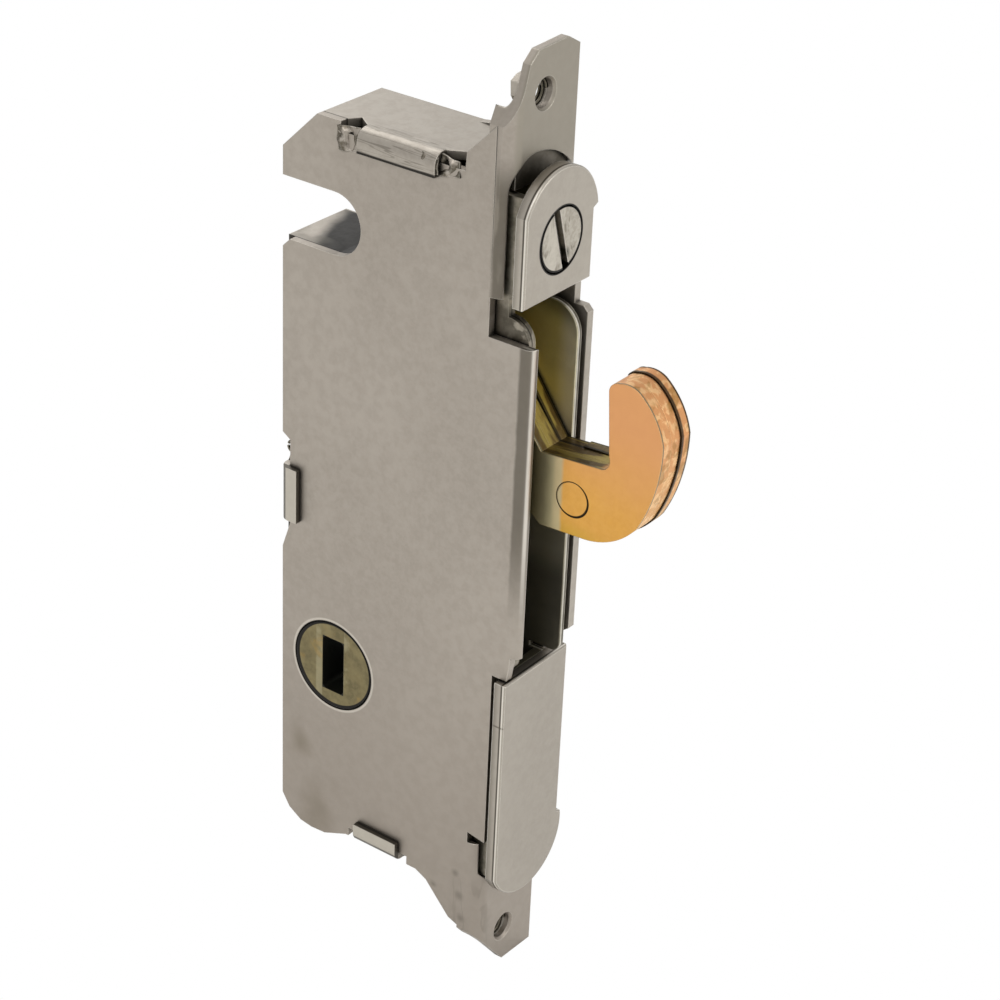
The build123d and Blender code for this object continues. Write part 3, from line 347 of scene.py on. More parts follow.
def caseSide():  # near side plate: painted shade on the bend and lip with a painted highlight on the lip's cut edge, joint line, painted highlight and painted shade round the hub, and dents and creases with painted shade by the lower ear
    skin = Finish("nearSidePlating", plating)
    marks = caseMarks
    x, y, z = (skin.place(axis) for axis in "XYZ")
    wobble = skin.wave(**marks["wobble"])
    skin.stain(skin.ramp(z, *marks["lowFade"]) * marks["lowShare"], marks["lowTone"])
    # painted shade on the curve of the bend
    bend = skin.ramp(y + wobble * marks["bendWobble"], *marks["bendFade"])
    bend = bend * skin.ramp(x, *marks["bendAcross"])
    bend = bend * skin.ramp(z, *marks["bendStart"]) * skin.ramp(z, *marks["bendEnd"])
    skin.stain(bend * marks["bendShare"], bandShade)
    # painted shade on the lip's bend, lighter at its front edge, and a painted highlight line on its cut edge
    lip = skin.ramp(y + wobble * marks["lipWobble"], *marks["lipFade"])
    lip = lip * skin.ramp(z, *marks["lipStart"]) * skin.ramp(z, *marks["lipEnd"])
    skin.stain(lip * marks["lipShare"], bandShade)
    skin.stain(lip * skin.ramp(y, *marks["brimFade"]) * marks["brimShare"], marks["brimTone"])
    skin.stain(lip * skin.line(x, *marks["cutEdge"]) * marks["cutEdgeShare"], marks["cutEdgeHighlight"])
    ear = skin.ramp(y, *marks["earFade"]) * skin.ramp(z, *marks["earStart"])
    skin.stain(ear * marks["earShare"], marks["earTone"])
    streak = skin.ramp(skin.noise(*marks["streakNoise"]), *marks["streakSpread"])
    skin.stain(bend * streak * marks["streakShare"], bandPale)
    joint = skin.line(x, jointFace, jointLine["width"]) * skin.ramp(y, *jointLine["fade"])
    skin.mark(joint * jointLine["share"], jointAndShadeDark)
    hubRing = skin.reach(hubPlace, sideOn)
    skin.stain(skin.line(hubRing, *marks["hubLight"]) * marks["hubLightShare"], plating["edge"])
    # painted shade in the gap round the hub
    skin.mark(skin.ramp(hubRing, *marks["hubGapShade"]), jointAndShadeDark)
    for cloud in marks["clouds"]:
        away = skin.reach(cloud["place"], marks["cloudKeep"]) + skin.wave(**marks["cloudWave"])
        skin.stain(skin.ramp(away, cloud["size"], 0.0) * cloud["share"], marks["cloudTone"])
    for dent in marks["dents"]:
        hollow = skin.ramp(skin.away(dent["place"]), dent["size"], 0.0)
        # painted shade in the dent
        skin.stain(hollow * marks["dentShadeShare"], bandShade)
        skin.relief = skin.relief - hollow * marks["dentDepth"]
    crease = skin.noise(*marks["creaseNoise"])
    lowBend = skin.ramp(z, *marks["creaseStart"]) * skin.ramp(y, *marks["creaseFade"])
    lowBend = lowBend * skin.ramp(x, *marks["creaseAcross"])
    skin.relief = skin.relief + skin.ramp(crease, *marks["creaseSpread"]) * lowBend * marks["creaseDepth"]
    # painted shade along the crease lines
    skin.stain(skin.line(crease, *marks["creaseLine"]) * lowBend * marks["creaseShadeShare"], bandShade)
    return skin.done()


panPlating = dict(plating, base=rgb(160, 153, 143), pale=rgb(172, 165, 155))
panMarks = {
    "notchHeight": (26.3 * mm, 33.5 * mm, 0.1 * mm), "notchStart": (16.6 * mm, 16.9 * mm),
    "notchAcross": (4.7 * mm, 4.5 * mm), "notchEnd": (caseBack - 0.05 * mm, caseBack - 0.15 * mm),
    "slant": 0.35, "slopeWave": {"size": 1.5 * mm, "scale": 300},
    "notchShadeSlope": (26.0 * mm, 24.2 * mm), "notchShadeShare": 0.97,
    "streakNoise": (700, 4, (0.5, 0.25, 1)), "streakSpread": (0.46, 0.60),
    "streakSlope": (22.5 * mm, 25.5 * mm), "streakShare": 0.5, "streakTone": rgb(104, 100, 90),
    "tabAlong": (8.0 * mm, 17.4 * mm, 0.2 * mm), "tabRise": (37.0 * mm, 37.3 * mm),
    "tabAcross": (-2.4 * mm, -3.2 * mm),
    "creaseNoise": (1300, 2, (1, 0.05, 1)), "creaseSpread": (0.42, 0.60), "creaseDepth": 4,
    "creaseLines": [
        {"line": (0.47, 0.02), "share": 0.5},
        {"line": (0.56, 0.02), "share": 0.4},
    ],
    "footShadowFade": (38.46 * mm, 38.30 * mm), "footWave": 0.5 * mm, "footShadowShare": 0.95,
    "flapAcross": (nearFace - 0.05 * mm, nearFace - 0.25 * mm), "flapTop": (20 * mm, 15 * mm),
    "flapShare": 0.7, "flapTone": rgb(180, 174, 162),
    "sideAcross": (-5.44 * mm, nearFace - 0.03 * mm, 0.03 * mm),
    "tabSideShadeShare": 0.8, "tabSideShadeTone": rgb(44, 40, 33),
}


def casePan():  # far side pan: wrinkled top tab with painted shade in its creases and a painted shadow under it, streaked notch wall in painted shade, pale tabs with painted shade on their sides, and a joint line
    skin = Finish("farPanPlating", panPlating)
    marks = panMarks
    x, y, z = (skin.place(axis) for axis in "XYZ")
    notch = skin.band(z, *marks["notchHeight"]) * skin.ramp(y, *marks["notchStart"])
    notch = notch * skin.ramp(x, *marks["notchAcross"]) * skin.ramp(y, *marks["notchEnd"])
    streak = skin.ramp(skin.noise(*marks["streakNoise"]), *marks["streakSpread"])
    slope = y - x * marks["slant"] + skin.wave(**marks["slopeWave"])
    # painted shade on the notch wall, with paler streaks
    skin.mark(notch * skin.ramp(slope, *marks["notchShadeSlope"]) * marks["notchShadeShare"], jointAndShadeDark)
    streak = notch * streak * skin.ramp(slope, *marks["streakSlope"])
    skin.mark(streak * marks["streakShare"], marks["streakTone"])
    tab = skin.band(y, *marks["tabAlong"]) * skin.ramp(z, *marks["tabRise"])
    tab = tab * skin.ramp(x, *marks["tabAcross"])
    crease = skin.noise(*marks["creaseNoise"])
    # painted shade along the tab's creases
    for drawn in marks["creaseLines"]:
        skin.stain(tab * skin.line(crease, *drawn["line"]) * drawn["share"], bandShade)
    # painted shadow line under the tab's folded edge
    foot = skin.ramp(z + (crease - noiseMiddle) * marks["footWave"], *marks["footShadowFade"])
    skin.mark(tab * foot * marks["footShadowShare"], jointAndShadeDark)
    flap = skin.ramp(x, *marks["flapAcross"]) * skin.ramp(z, *marks["flapTop"])
    skin.stain(flap * marks["flapShare"], marks["flapTone"])
    # painted shade on the side faces of the tabs
    sides = skin.band(x, *marks["sideAcross"]) * skin.ramp(z, *marks["flapTop"])
    skin.mark(sides * marks["tabSideShadeShare"], marks["tabSideShadeTone"])
    skin.relief = skin.relief + tab * skin.ramp(crease, *marks["creaseSpread"]) * marks["creaseDepth"]
    joint = skin.line(x, jointFace, jointLine["width"]) * (1.0 - tab) * skin.ramp(y, *jointLine["fade"])
    skin.mark(joint * jointLine["share"], jointAndShadeDark)
    return skin.done()


carriagePlating = dict(innerPlating, base=rgb(138, 131, 118), pale=rgb(158, 151, 138),
                       shade=rgb(112, 104, 66), shadeShare=0.35)
carriageMarks = {
    "inside": (-2.75 * mm, 2.45 * mm, 0.03 * mm), "insideShare": 0.9, "insideTone": rgb(210, 197, 126),
    "glowSlant": 0.10, "glowShift": 2.0 * mm, "glowWidth": (3.4 * mm, 0.4 * mm),
    "glowStart": (13 * mm, 17 * mm),
    "glowScale": 300, "glowSpread": (0.34, 0.6), "glowShare": 0.8, "glowTone": rgb(236, 222, 138),
    "mouthLightFade": (carriageFront + 2.6 * mm, carriageFront + 0.6 * mm), "mouthLightShare": 0.75,
    "mouthLightTone": rgb(214, 208, 190),
    "lowFade": (12 * mm, 9 * mm), "lowShare": 0.9, "lowTone": rgb(146, 140, 122),
    "highSlant": 0.4, "highFade": (23.5 * mm, 27 * mm), "highShadeShare": 0.8, "highShadeTone": rgb(52, 47, 34),
    "deepFade": (0.0, -4 * mm), "deepShadeShare": 0.6, "deepShadeTone": rgb(40, 38, 33),
    "noseAcross": (-2.60 * mm, -2.72 * mm), "noseHeight": (23.5 * mm, 27 * mm, 0.5 * mm),
    "foldShadeNoise": (700, 3, (1, 0.5, 0.5), 0.8), "foldShadeSpread": (0.48, 0.58), "foldShadeShare": 0.7,
    "foldShadeTone": rgb(60, 55, 46),
    "noseShadeLine": (-3.25 * mm, 0.13 * mm), "noseShadeLineShare": 0.8,
    "farLight": (2.62 * mm, 0.12 * mm), "farLightShare": 0.6, "farLightTone": rgb(226, 222, 210),
    "farLine": (2.86 * mm, 0.10 * mm), "farLineShare": 0.8,
}


def carriageSkin():  # carriage frame: olive inside the slot with a painted yellow highlight, painted light towards its front, and painted shade at both ends and on its nose
    skin = Finish("carriagePlating", carriagePlating)
    marks = carriageMarks
    x, y, z = (skin.place(axis) for axis in "XYZ")
    inside = skin.band(x, *marks["inside"])
    skin.stain(inside * marks["insideShare"], marks["insideTone"])
    # painted yellow highlight across the inside of the slot
    glow = skin.ramp(abs(y + z * marks["glowSlant"] + marks["glowShift"]), *marks["glowWidth"])
    glow = glow * skin.ramp(z, *marks["glowStart"])
    glow = inside * glow * skin.ramp(skin.noise(marks["glowScale"]), *marks["glowSpread"])
    skin.stain(glow * marks["glowShare"], marks["glowTone"])
    # painted light on the slot's inside towards its mouth
    mouthLight = skin.ramp(y, *marks["mouthLightFade"])
    skin.stain(inside * mouthLight * marks["mouthLightShare"], marks["mouthLightTone"])
    skin.stain(inside * skin.ramp(z, *marks["lowFade"]) * marks["lowShare"], marks["lowTone"])
    # painted shade high in the slot
    high = skin.ramp(z - y * marks["highSlant"], *marks["highFade"])
    skin.stain(inside * high * marks["highShadeShare"], marks["highShadeTone"])
    # painted shade low in the slot
    skin.mark(inside * skin.ramp(z, *marks["deepFade"]) * marks["deepShadeShare"], marks["deepShadeTone"])
    # painted shade, mottled, on the near wall's nose, and a painted shade line along it
    nose = skin.ramp(x, *marks["noseAcross"]) * skin.band(z, *marks["noseHeight"])
    foldShade = skin.ramp(skin.noise(*marks["foldShadeNoise"]), *marks["foldShadeSpread"])
    skin.stain(nose * foldShade * marks["foldShadeShare"], marks["foldShadeTone"])
    skin.mark(skin.line(x, *marks["noseShadeLine"]) * nose * marks["noseShadeLineShare"], jointAndShadeDark)
    skin.stain(skin.line(x, *marks["farLight"]) * marks["farLightShare"], marks["farLightTone"])
    skin.stain(skin.line(x, *marks["farLine"]) * marks["farLineShare"], jointAndShadeDark)
    return skin.done()


faceMarks = {
    "lineDepth": 0.40 * mm, "lineWidth": 0.14 * mm, "lineShare": 0.85, "lineTone": rgb(58, 53, 45),
    "lightDepth": 0.22 * mm, "lightWidth": 0.10 * mm, "lightShare": 0.6,
    "rearDepth": (0.55 * mm, 1.25 * mm), "rearShadeShare": 0.5, "rearShadeTone": rgb(98, 92, 82),
    "seam": (-17.7 * mm, 0.14 * mm), "seamReach": 0.4 * mm, "seamShare": 0.7, "seamTone": rgb(84, 78, 68),
    "screwGapShade": {"outer": 3.42 * mm, "inner": 2.9 * mm, "shift": (0, 0, 0), "soft": 0.03 * mm},
}


def faceSkin(name, look, low, ring):  # face plate: a dark line, a painted highlight line and painted shade towards the back on its side, a seam, and painted shade in the gap round the screw
    skin = Finish(name, look)
    marks = faceMarks
    y = skin.place("Y")
    front = low[1]
    line = skin.line(y, front + marks["lineDepth"], marks["lineWidth"])
    light = skin.line(y, front + marks["lightDepth"], marks["lightWidth"])
    rear = skin.ramp(y, *(front + depth for depth in marks["rearDepth"]))
    skin.stain(line * marks["lineShare"], marks["lineTone"])
    skin.stain(light * marks["lightShare"], facePlating["edge"])
    # painted shade towards the back of the side
    skin.stain(rear * marks["rearShadeShare"], marks["rearShadeTone"])
    seam = skin.line(skin.place("Z"), *marks["seam"])
    seam = seam * skin.ramp(skin.place("X"), low[0] + marks["seamReach"], low[0])
    skin.stain(seam * marks["seamShare"], marks["seamTone"])
    if ring:
        # painted shade in the gap round the screw
        skin.mark(skin.crescent(screwPlace, frontOn, **marks["screwGapShade"]), jointAndShadeDark)
    return skin.done()


screwPlating = dict(facePlating, base=rgb(152, 145, 133), pale=rgb(200, 194, 182))
screwMarks = {
    "patchNoise": (380, 3, (1, 1, 0.5), 1.2), "patchSpread": (0.48, 0.62), "patchShare": 0.55,
    "patchTone": rgb(190, 184, 172),
    "darkPatchNoise": (520, 3, (1, 1, 0.4), 1.6), "darkPatchSpread": (0.56, 0.66), "darkPatchShare": 0.6,
    "darkPatchTone": rgb(98, 90, 76),
    "shadowSpotPlace": (0.75 * mm, 0, 31.7 * mm), "shadowSpotFade": (0.9 * mm, 0.3 * mm), "shadowSpotShare": 0.85,
    "shadowSpotTone": rgb(34, 34, 26),
    "rim": {"outer": 3.4 * mm, "inner": 3.02 * mm, "shift": (0.06 * mm, 0, 0.05 * mm), "soft": 0.03 * mm},
}


def screwSkin():  # screw head: painted shade in the gap round its rim, pale and dark patches round the slot, and a painted shadow at the slot's lower end
    skin = Finish("screwPlating", screwPlating)
    marks = screwMarks
    patch = skin.ramp(skin.noise(*marks["patchNoise"]), *marks["patchSpread"])
    darkPatch = skin.ramp(skin.noise(*marks["darkPatchNoise"]), *marks["darkPatchSpread"])
    spot = skin.ramp(skin.reach(marks["shadowSpotPlace"], frontOn), *marks["shadowSpotFade"])
    skin.stain(patch * marks["patchShare"], marks["patchTone"])
    skin.stain(darkPatch * marks["darkPatchShare"], marks["darkPatchTone"])
    # painted shadow at the slot's lower end
    skin.stain(spot * marks["shadowSpotShare"], marks["shadowSpotTone"])
    # painted shade in the gap round the rim
    skin.mark(skin.crescent(screwPlace, frontOn, **marks["rim"]), jointAndShadeDark)
    return skin.done()


hookLook = dict(plating, base=rgb(205, 152, 72), pale=rgb(212, 162, 86), dull=rgb(196, 144, 68),
                cloudScale=120, speckleShare=0.35, edge=rgb(228, 200, 146), edgeShare=0.35,
                creviceShade=rgb(60, 40, 14), creviceShare=0.8, shade=rgb(98, 90, 52), shadeShare=0.8,
                roughness=0.38, metallic=0.88)
hookMarks = {
    "riseWave": {"size": 5 * mm, "scale": 150}, "riseSlant": 0.25, "riseFade": (9.5 * mm, 21.5 * mm),
    "riseShare": 0.9, "riseTone": rgb(206, 148, 100),
    "greenWave": {"size": 2 * mm, "scale": 260}, "greenSlant": 0.2, "greenFade": (8.5 * mm, 6.2 * mm),
    "greenShare": 0.6, "greenTone": rgb(182, 146, 50),
    "rimFade": (hookFace + 0.05 * mm, hookFace + 0.25 * mm),
    "mottleNoise": (1000, 4, (1, 1, 1), 0.4), "mottleSpread": (0.48, 0.60), "mottleShare": 0.5,
    "mottleTone": rgb(244, 206, 152), "mottleDepth": 4,
    "patchNoise": (520, 4, (1, 1, 1), 0.5), "patchSpread": (0.52, 0.62), "patchShare": 0.6,
    "patchTone": rgb(150, 108, 44),
    "seamWave": {"size": 0.12 * mm, "scale": 200, "detail": 2}, "seamShare": 0.9,
    "faceSeams": [{"line": (hookFace + 0.16 * mm, 0.13 * mm), "tone": rgb(112, 108, 88)}],
    "rimSeams": [
        {"line": (mainHookLow[0] + 0.10 * mm, 0.32 * mm), "tone": rgb(30, 24, 12)},
        {"line": (mainHookHigh[0] - 0.12 * mm, 0.20 * mm), "tone": rgb(44, 34, 16)},
    ],
    "throatFade": (-10.3 * mm, -9.5 * mm), "throatRise": (11.6 * mm, 12.4 * mm), "throatShadeShare": 0.9,
    "throatShadeTone": rgb(66, 58, 28),
    "highlightLineNoise": (800, 3, (1, 0.18, 0.18)), "highlightLineSpread": (0.47, 0.56), "highlightLineShare": 0.5,
    "highlightLineTone": rgb(188, 168, 88),
    "footTop": (16 * mm, 14 * mm), "footWave": {"size": 0.4 * mm, "scale": 300, "detail": 2},
    "footReflections": [
        {"fade": (-6.0 * mm, -5.5 * mm), "share": 0.85, "tone": rgb(178, 168, 134)},
        {"fade": (-5.1 * mm, -4.5 * mm), "share": 0.75, "tone": rgb(168, 159, 124)},
    ],
    "rivetRing": {"outer": 1.90 * mm, "inner": 1.74 * mm, "shift": (0, 0.07 * mm, 0.06 * mm),
                  "soft": 0.03 * mm},
    "rivetTone": rgb(42, 32, 12),
}


def hookSkin(name, seams):  # yellow zinc: pinkish orange above, golden below, a painted grey reflection of the case at the foot, and painted shade with painted highlight lines in the throat
    skin = Finish(name, hookLook)
    marks = hookMarks
    x, y, z = (skin.place(axis) for axis in "XYZ")
    rise = skin.ramp(z + skin.wave(**marks["riseWave"]) - y * marks["riseSlant"], *marks["riseFade"])
    skin.stain(rise * marks["riseShare"], marks["riseTone"])
    green = skin.ramp(z - y * marks["greenSlant"] + skin.wave(**marks["greenWave"]), *marks["greenFade"])
    skin.stain(green * marks["greenShare"], marks["greenTone"])
    rim = skin.ramp(x, *marks["rimFade"])
    mottle = skin.ramp(skin.noise(*marks["mottleNoise"]), *marks["mottleSpread"]) * rim
    skin.stain(mottle * marks["mottleShare"], marks["mottleTone"])
    patch = skin.ramp(skin.noise(*marks["patchNoise"]), *marks["patchSpread"]) * rim
    skin.stain(patch * marks["patchShare"], marks["patchTone"])
    skin.relief = skin.relief + mottle * marks["mottleDepth"]
    for seam in seams:
        line = skin.line(x + skin.wave(**marks["seamWave"]), *seam["line"])
        skin.mark(line * marks["seamShare"], seam["tone"])
    # painted shade in the throat and up the shank, with painted highlight lines
    throatShade = rim * skin.ramp(y, *marks["throatFade"]) * skin.ramp(z, *marks["throatRise"])
    highlightLines = skin.ramp(skin.noise(*marks["highlightLineNoise"]), *marks["highlightLineSpread"])
    skin.stain(throatShade * marks["throatShadeShare"], marks["throatShadeTone"])
    skin.stain(throatShade * highlightLines * marks["highlightLineShare"], marks["highlightLineTone"])
    # painted grey reflection of the case on the hook's foot
    along = y + skin.wave(**marks["footWave"])
    foot = skin.ramp(z, *marks["footTop"]) * (1.0 - rim)
    for stripe in marks["footReflections"]:
        skin.stain(foot * skin.ramp(along, *stripe["fade"]) * stripe["share"], stripe["tone"])
    skin.mark(skin.crescent(rivetPlace, sideOn, **marks["rivetRing"]), marks["rivetTone"])
    return skin.done()


hubLook = dict(plating, base=rgb(114, 103, 71), pale=rgb(134, 123, 88), dull=rgb(95, 87, 61),
               cloudScale=260, speckleScale=700, speckleShare=0.7, edge=rgb(176, 166, 130),
               shade=rgb(30, 30, 24), shadeShare=0.9, roughness=0.46, metallic=0.8)
hubMarks = {
    "beside": (1.45 * mm, 2.3 * mm, 0.1 * mm), "besideScale": 500, "besideSpread": (0.38, 0.56),
    "besideShare": 0.5, "besideTone": rgb(160, 152, 122),
    "rustNoise": (360, 3, (1, 1, 1), 0.8), "rustSpread": (0.56, 0.68), "rustShare": 0.4,
    "rustTone": rgb(150, 120, 60),
    "slotWidth": (1.47 * mm, 1.42 * mm), "slotHeight": (3.26 * mm, 3.2 * mm), "slotShadeShare": 0.97,
    "slotShadeTone": rgb(24, 26, 22),
    "rim": {"outer": 5.2 * mm, "inner": 4.70 * mm, "shift": (0, -0.14 * mm, 0.12 * mm), "soft": 0.04 * mm},
}


def hubSkin():  # die-cast hub in an olive passivation, with painted shade in its slot and in the gap round its rim
    skin = Finish("hubZinc", hubLook)
    marks = hubMarks
    y, z = (skin.place(axis) for axis in "YZ")
    beside = skin.band(abs(y - hubPlace[1]), *marks["beside"])
    beside = beside * skin.ramp(skin.noise(marks["besideScale"]), *marks["besideSpread"])
    skin.stain(beside * marks["besideShare"], marks["besideTone"])
    rust = skin.ramp(skin.noise(*marks["rustNoise"]), *marks["rustSpread"])
    skin.stain(rust * marks["rustShare"], marks["rustTone"])
    # painted shade in the keyway
    slot = skin.ramp(abs(y - hubPlace[1]), *marks["slotWidth"])
    slot = slot * skin.ramp(abs(z - hubPlace[2]), *marks["slotHeight"])
    skin.mark(slot * marks["slotShadeShare"], marks["slotShadeTone"])
    # painted shade in the gap round the rim
    skin.mark(skin.crescent(hubPlace, sideOn, **marks["rim"]), jointAndShadeDark)
    return skin.done()


def coat(names, material):  # gives nodes a finish on every slot they have
    for name in names:
        for place in nodes[name].material_slots:
            place.material = material


coat(["near_side_plate"], caseSide())
coat(["far_side_pan"], casePan())
coat(["carriage_frame"], carriageSkin())
coat(["upper_face_plate"], faceSkin("upperFacePlating", facePlating, upperLow, True))
coat(["lower_face_plate"], faceSkin("lowerFacePlating", lowerShadedPlating, lowerLow, False))
coat(["adjusting_screw"], screwSkin())
coat(["hook_near_plate", "hook_rivet", "hook_inner_rivet"], hookSkin("hookFaceZinc", hookMarks["faceSeams"]))
coat(["hook_main_plate", "hook_middle_plate"], hookSkin("hookRimZinc", hookMarks["rimSeams"]))
coat(["drive_hub"], hubSkin())
innerSteel = Finish("innerPlating", innerPlating).done()
coat(["hook_pivot_pin", "pivot_washer", "hook_tail_pin", "screw_clip", "hub_arm", "hub_arm_pin",
      "drive_slide", "lock_spring", "slide_guide_studs", "spring_seat", "adjuster_nut",
      "lower_guide_block"], innerSteel)
print("finishes on")


def add(name, data):  # new object in the scene
    made = bpy.data.objects.new(name, data)
    bpy.context.scene.collection.objects.link(made)
    return made


def addMesh(name, points, faces, material):
    mesh = bpy.data.meshes.new(name)
    mesh.from_pydata(points, [], faces)
    mesh.materials.append(material)
    return add(name, mesh)


wireRoundness = 2  # how finely a wire's round section is divided


def addWire(name, points, thickness, body, material):  # round wire through a row of points
    curve = bpy.data.curves.new(name, "CURVE")
    curve.dimensions = "3D"
    curve.bevel_depth = thickness
    curve.bevel_resolution = wireRoundness
    curve.use_fill_caps = True
    line = curve.splines.new("POLY")
    line.points.add(len(points) - 1)
    for spot, point in zip(line.points, points):
        spot.co = (*point, 1)
    curve.materials.append(material)
    made = add(name, curve)
    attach(made, body)


# stronger painted highlight on the thread's edges
threadPlating = dict(innerPlating, edgeShare=0.9)
threadForm = {
    "places": {"upperEarThread": earHoleZ, "lowerEarThread": -earHoleZ},
    "radius": 1.33 * mm, "wire": 0.13 * mm, "from": 0.95 * mm, "to": 1.72 * mm, "turns": 2, "steps": 24,
}


def makeThreads(material):  # thread turns in the holes of the rear ears
    form = threadForm
    count = form["turns"] * form["steps"]
    for name, height in form["places"].items():
        points = []
        for step in range(count + 1):
            turn = 2 * pi * step / form["steps"]
            depth = form["from"] + (form["to"] - form["from"]) * step / count
            points.append((form["radius"] * cos(turn), depth, height + form["radius"] * sin(turn)))
        addWire(name, points, form["wire"], "case", material)


curlForm = {"name": "backTabCurl", "wire": 0.15 * mm, "sweep": 1.85 * pi, "start": 0.4, "steps": 20,
            "center": (-4.4, 25.9, 3.85), "radius": 0.62}  # center and radius in millimetres


def makeCurl(material):  # small turned-up loop of sheet above the back tab
    form = curlForm
    center = Vector(form["center"])
    points = []
    for step in range(form["steps"] + 1):
        turn = form["sweep"] * step / form["steps"] + form["start"]
        points.append((center + Vector((0, cos(turn), sin(turn))) * form["radius"]) * mm)
    addWire(form["name"], points, form["wire"], "case", material)


crumpledPlating = dict(plating, speckleShare=0.7, bumpStrength=0.4)
crumpleForm = {
    "across": 14, "up": 10, "sheet": 0.16 * mm, "waves": 1100, "sideLeast": 0.35, "endLeast": 0.25,
    "foldShadeScale": 620, "foldShadeSpread": (0.42, 0.54), "foldShadeShare": 0.8, "foldShadeTone": rgb(70, 63, 48),
    "noiseGain": 2,  # most of the noise lies within a half either way
    "pieces": [  # corners in millimetres
        {"name": "topTabRearCrumple", "seed": 3.0, "lift": 0.48 * mm,
         "corners": [(-4.85, 17.2, 37.9), (-4.85, 19.9, 37.6), (-4.55, 17.5, 40.3), (-4.75, 20.3, 40.0)]},
        {"name": "topTabFrontCrumple", "seed": 7.0, "lift": 0.34 * mm,
         "corners": [(-4.85, 5.6, 38.6), (-4.85, 8.1, 38.2), (-4.65, 5.9, 40.0), (-4.45, 8.0, 40.3)]},
        {"name": "topTabCurl", "seed": 11.0, "lift": 0.25 * mm,
         "corners": [(-5.22, 7.9, 38.4), (-5.22, 10.2, 38.6), (-5.1, 8.0, 40.0), (-5.0, 9.9, 40.2)]},
    ],
}


def arch(share):  # 0 at both ends, 1 in the middle
    return 4 * share * (1 - share)


def crumplePoints(facts):  # rows of points between four corners, lifted by noise
    form = crumpleForm
    corners = [Vector(corner) * mm for corner in facts["corners"]]
    normal = (corners[1] - corners[0]).cross(corners[2] - corners[0]).normalized()
    shift = Vector((facts["seed"], 0, 0))
    points = []
    for row in range(form["up"] + 1):
        v = row / form["up"]
        for column in range(form["across"] + 1):
            u = column / form["across"]
            flat = corners[0].lerp(corners[1], u).lerp(corners[2].lerp(corners[3], u), v)
            wave = noise.noise(flat * form["waves"] + shift)
            fade = min(1, arch(u) + form["sideLeast"]) * min(1, arch(v) + form["endLeast"])
            points.append(flat + normal * wave * facts["lift"] * form["noiseGain"] * fade)
    return points


def makeCrumples():  # torn and pressed bits of sheet at the ends of the folded tab
    form = crumpleForm
    skin = Finish("crumpledPlating", crumpledPlating)
    # painted shade in the folds of the crumples
    foldShade = skin.ramp(skin.noise(form["foldShadeScale"]), *form["foldShadeSpread"])
    skin.stain(foldShade * form["foldShadeShare"], form["foldShadeTone"])
    material = skin.done()
    wide = form["across"] + 1
    starts = [row * wide + column for row in range(form["up"]) for column in range(form["across"])]
    faces = [(start, start + 1, start + wide + 1, start + wide) for start in starts]
    for facts in form["pieces"]:
        piece = addMesh(facts["name"], crumplePoints(facts), faces, material)
        thicken = piece.modifiers.new("sheet", "SOLIDIFY")
        thicken.thickness = form["sheet"]
        thicken.offset = 0
        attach(piece, "case")


spring = {"name": "lockSpringCoil", "node": "lock_spring", "joint": "slide_lift", "fixedEnd": 25.2 * mm}


def makeSpring(material):  # the lock spring again, as a copy riding on the case in place of the hidden part; the share of its length kept at full lift is worked out but not applied
    node = nodes[spring["node"]]
    springLow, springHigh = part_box(spring["node"])
    travel = next(joint for joint in frame["joints"] if joint["name"] == spring["joint"])["range_m"][1]
    coil = add(spring["name"], node.data.copy())
    coil.matrix_world = node.matrix_world.copy()
    coil.data.materials.clear()
    coil.data.materials.append(material)
    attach(coil, "case")
    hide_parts(spring["node"])
    keep = 1 - travel / (spring["fixedEnd"] - springLow[2])
    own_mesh(coil)


backingForm = {
    "name": "earGapBacking", "low": (-3.4, 0.5, 38.35), "high": (4.75, 0.85, 41.9),  # in millimetres
    "baseLeast": 0.75, "baseSpeckle": 0.2, "gapShadeTone": rgb(72, 67, 57),
    "topFade": (39.5 * mm, 41.6 * mm), "topShare": 0.6, "topTone": rgb(128, 121, 110),
}


def makeBacking():  # thin dark strip that closes the gap behind the upper face plate's corner: painted shade, lighter towards the top
    form = backingForm
    low, high = (Vector(form[key]) * mm for key in ("low", "high"))
    corners = [(x, y, z) for x in (low.x, high.x) for y in (low.y, high.y) for z in (low.z, high.z)]
    faces = [(0, 1, 3, 2), (4, 6, 7, 5), (0, 4, 5, 1), (2, 3, 7, 6), (0, 2, 6, 4), (1, 5, 7, 3)]
    skin = Finish("backingPlating", plating)
    # painted shade, lighter towards the top
    skin.stain(form["baseLeast"] + skin.speckle * form["baseSpeckle"], form["gapShadeTone"])
    skin.stain(skin.ramp(skin.place("Z"), *form["topFade"]) * form["topShare"], form["topTone"])
    piece = addMesh(form["name"], corners, faces, skin.done())
    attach(piece, "case")


threadSteel = Finish("threadSteel", threadPlating).done()
makeThreads(threadSteel)
makeCurl(threadSteel)
makeCrumples()
makeSpring(innerSteel)
makeBacking()
print("small pieces made")


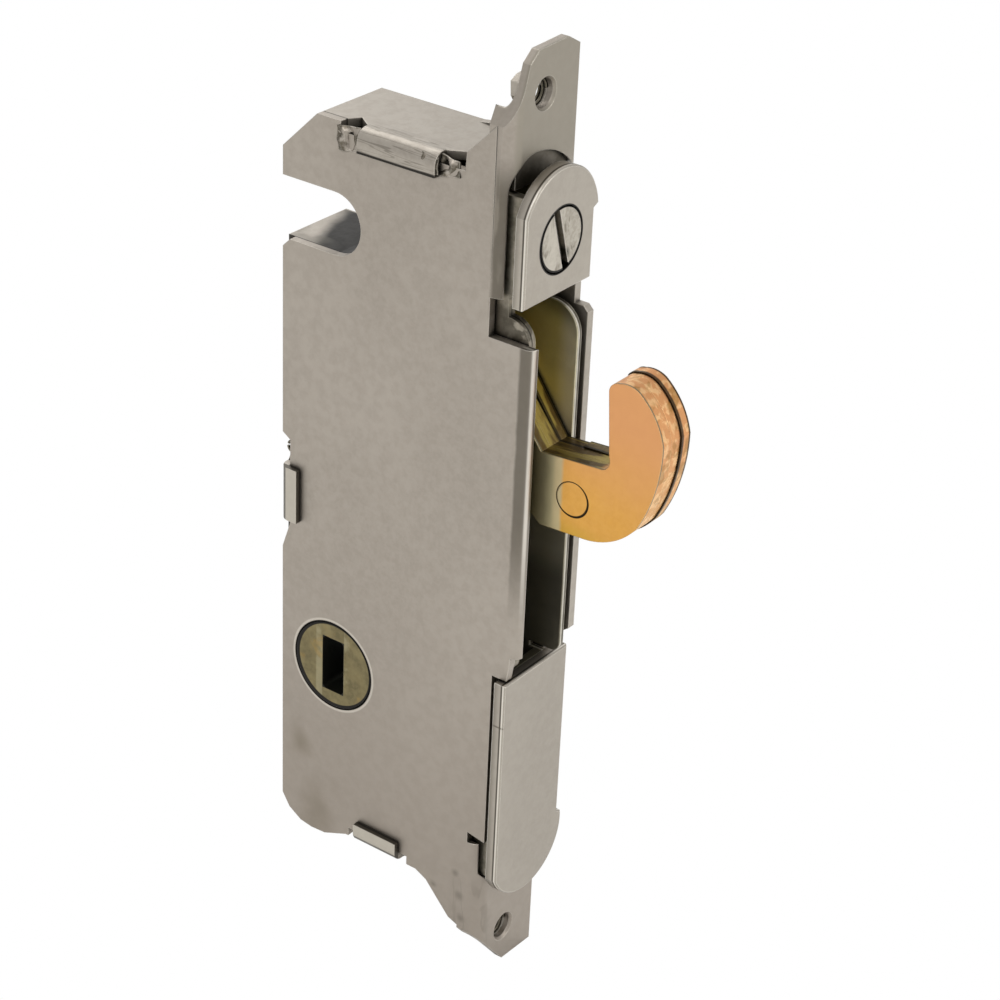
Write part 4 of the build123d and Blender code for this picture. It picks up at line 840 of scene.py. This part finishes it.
def makeFloor():  # pale floor under the lock, plain white where the camera sees it
    half = studio["floorSize"] / 2
    level = cadLow[2] - studio["floorDrop"]
    corners = [(-half, -half, level), (half, -half, level), (half, half, level), (-half, half, level)]
    paint = Paint("floorPaint")
    paint.put(Base_Color=studio["floorColor"], Roughness=studio["floorRoughness"])
    rays = paint.node("ShaderNodeLightPath", {}, {})
    seen = Socket(paint, rays.outputs["Is Camera Ray"]) + Socket(paint, rays.outputs["Is Transmission Ray"])
    white = paint.node("ShaderNodeEmission", {}, {"Color": studio["whiteColor"], "Strength": studio["white"]})
    both = paint.node("ShaderNodeMixShader", {}, {0: seen, 1: paint.shader.outputs[0], 2: white.outputs[0]})
    paint.plug(paint.tree.nodes["Material Output"].inputs["Surface"], both.outputs[0])
    floor = addMesh("studioFloor", corners, [(0, 1, 2, 3)], paint.material)


def makeSky():  # even soft light from all round, plain white to the camera
    world = bpy.data.worlds.new("studioSky")
    bpy.context.scene.world = world
    world.use_nodes = True
    air = Wiring(world.node_tree)
    rays = air.node("ShaderNodeLightPath", {}, {})
    blend = air.node("ShaderNodeMix", {}, {
        0: rays.outputs["Is Camera Ray"], 2: studio["sky"], 3: studio["white"]})
    background = air.tree.nodes["Background"]
    air.plug(background.inputs["Strength"], blend.outputs[0])
    air.plug(background.inputs["Color"], studio["whiteColor"])


def makeLamps():  # large area lamps that face the lock
    for name, facts in lamps.items():
        lamp = bpy.data.lights.new(name, "AREA")
        lamp.shape = "SQUARE"
        lamp.size = facts["size"]
        lamp.energy = facts["watts"]
        place = Vector(facts["place"])
        made = add(name, lamp)
        made.location = place
        made.rotation_euler = (-place).to_track_quat("-Z", "Y").to_euler()


def makeCamera():  # camera of the photograph, from its angles, roll and place
    turn, lift, roll = (radians(cameraView[key]) for key in ("azimuth", "elevation", "roll"))
    ahead = Vector((sin(turn) * cos(lift), cos(turn) * cos(lift), -sin(lift)))
    level = Vector((cos(turn), -sin(turn), 0))
    upright = level.cross(ahead)
    right = level * cos(roll) + upright * sin(roll)
    up = upright * cos(roll) - level * sin(roll)
    lens = bpy.data.cameras.new("photoCamera")
    lens.lens = cameraView["lens"]
    lens.sensor_width = cameraView["sensor"]
    lens.clip_start = cameraView["near"]
    lens.clip_end = cameraView["far"]
    made = add("photoCamera", lens)
    turned = Matrix((right, up, -ahead)).transposed().to_4x4()
    made.matrix_world = Matrix.Translation(cameraView["place"]) @ turned
    bpy.context.scene.camera = made


makeFloor()
makeSky()
makeLamps()
makeCamera()
bpy.context.scene.view_settings.view_transform = "Standard"
print("studio ready")
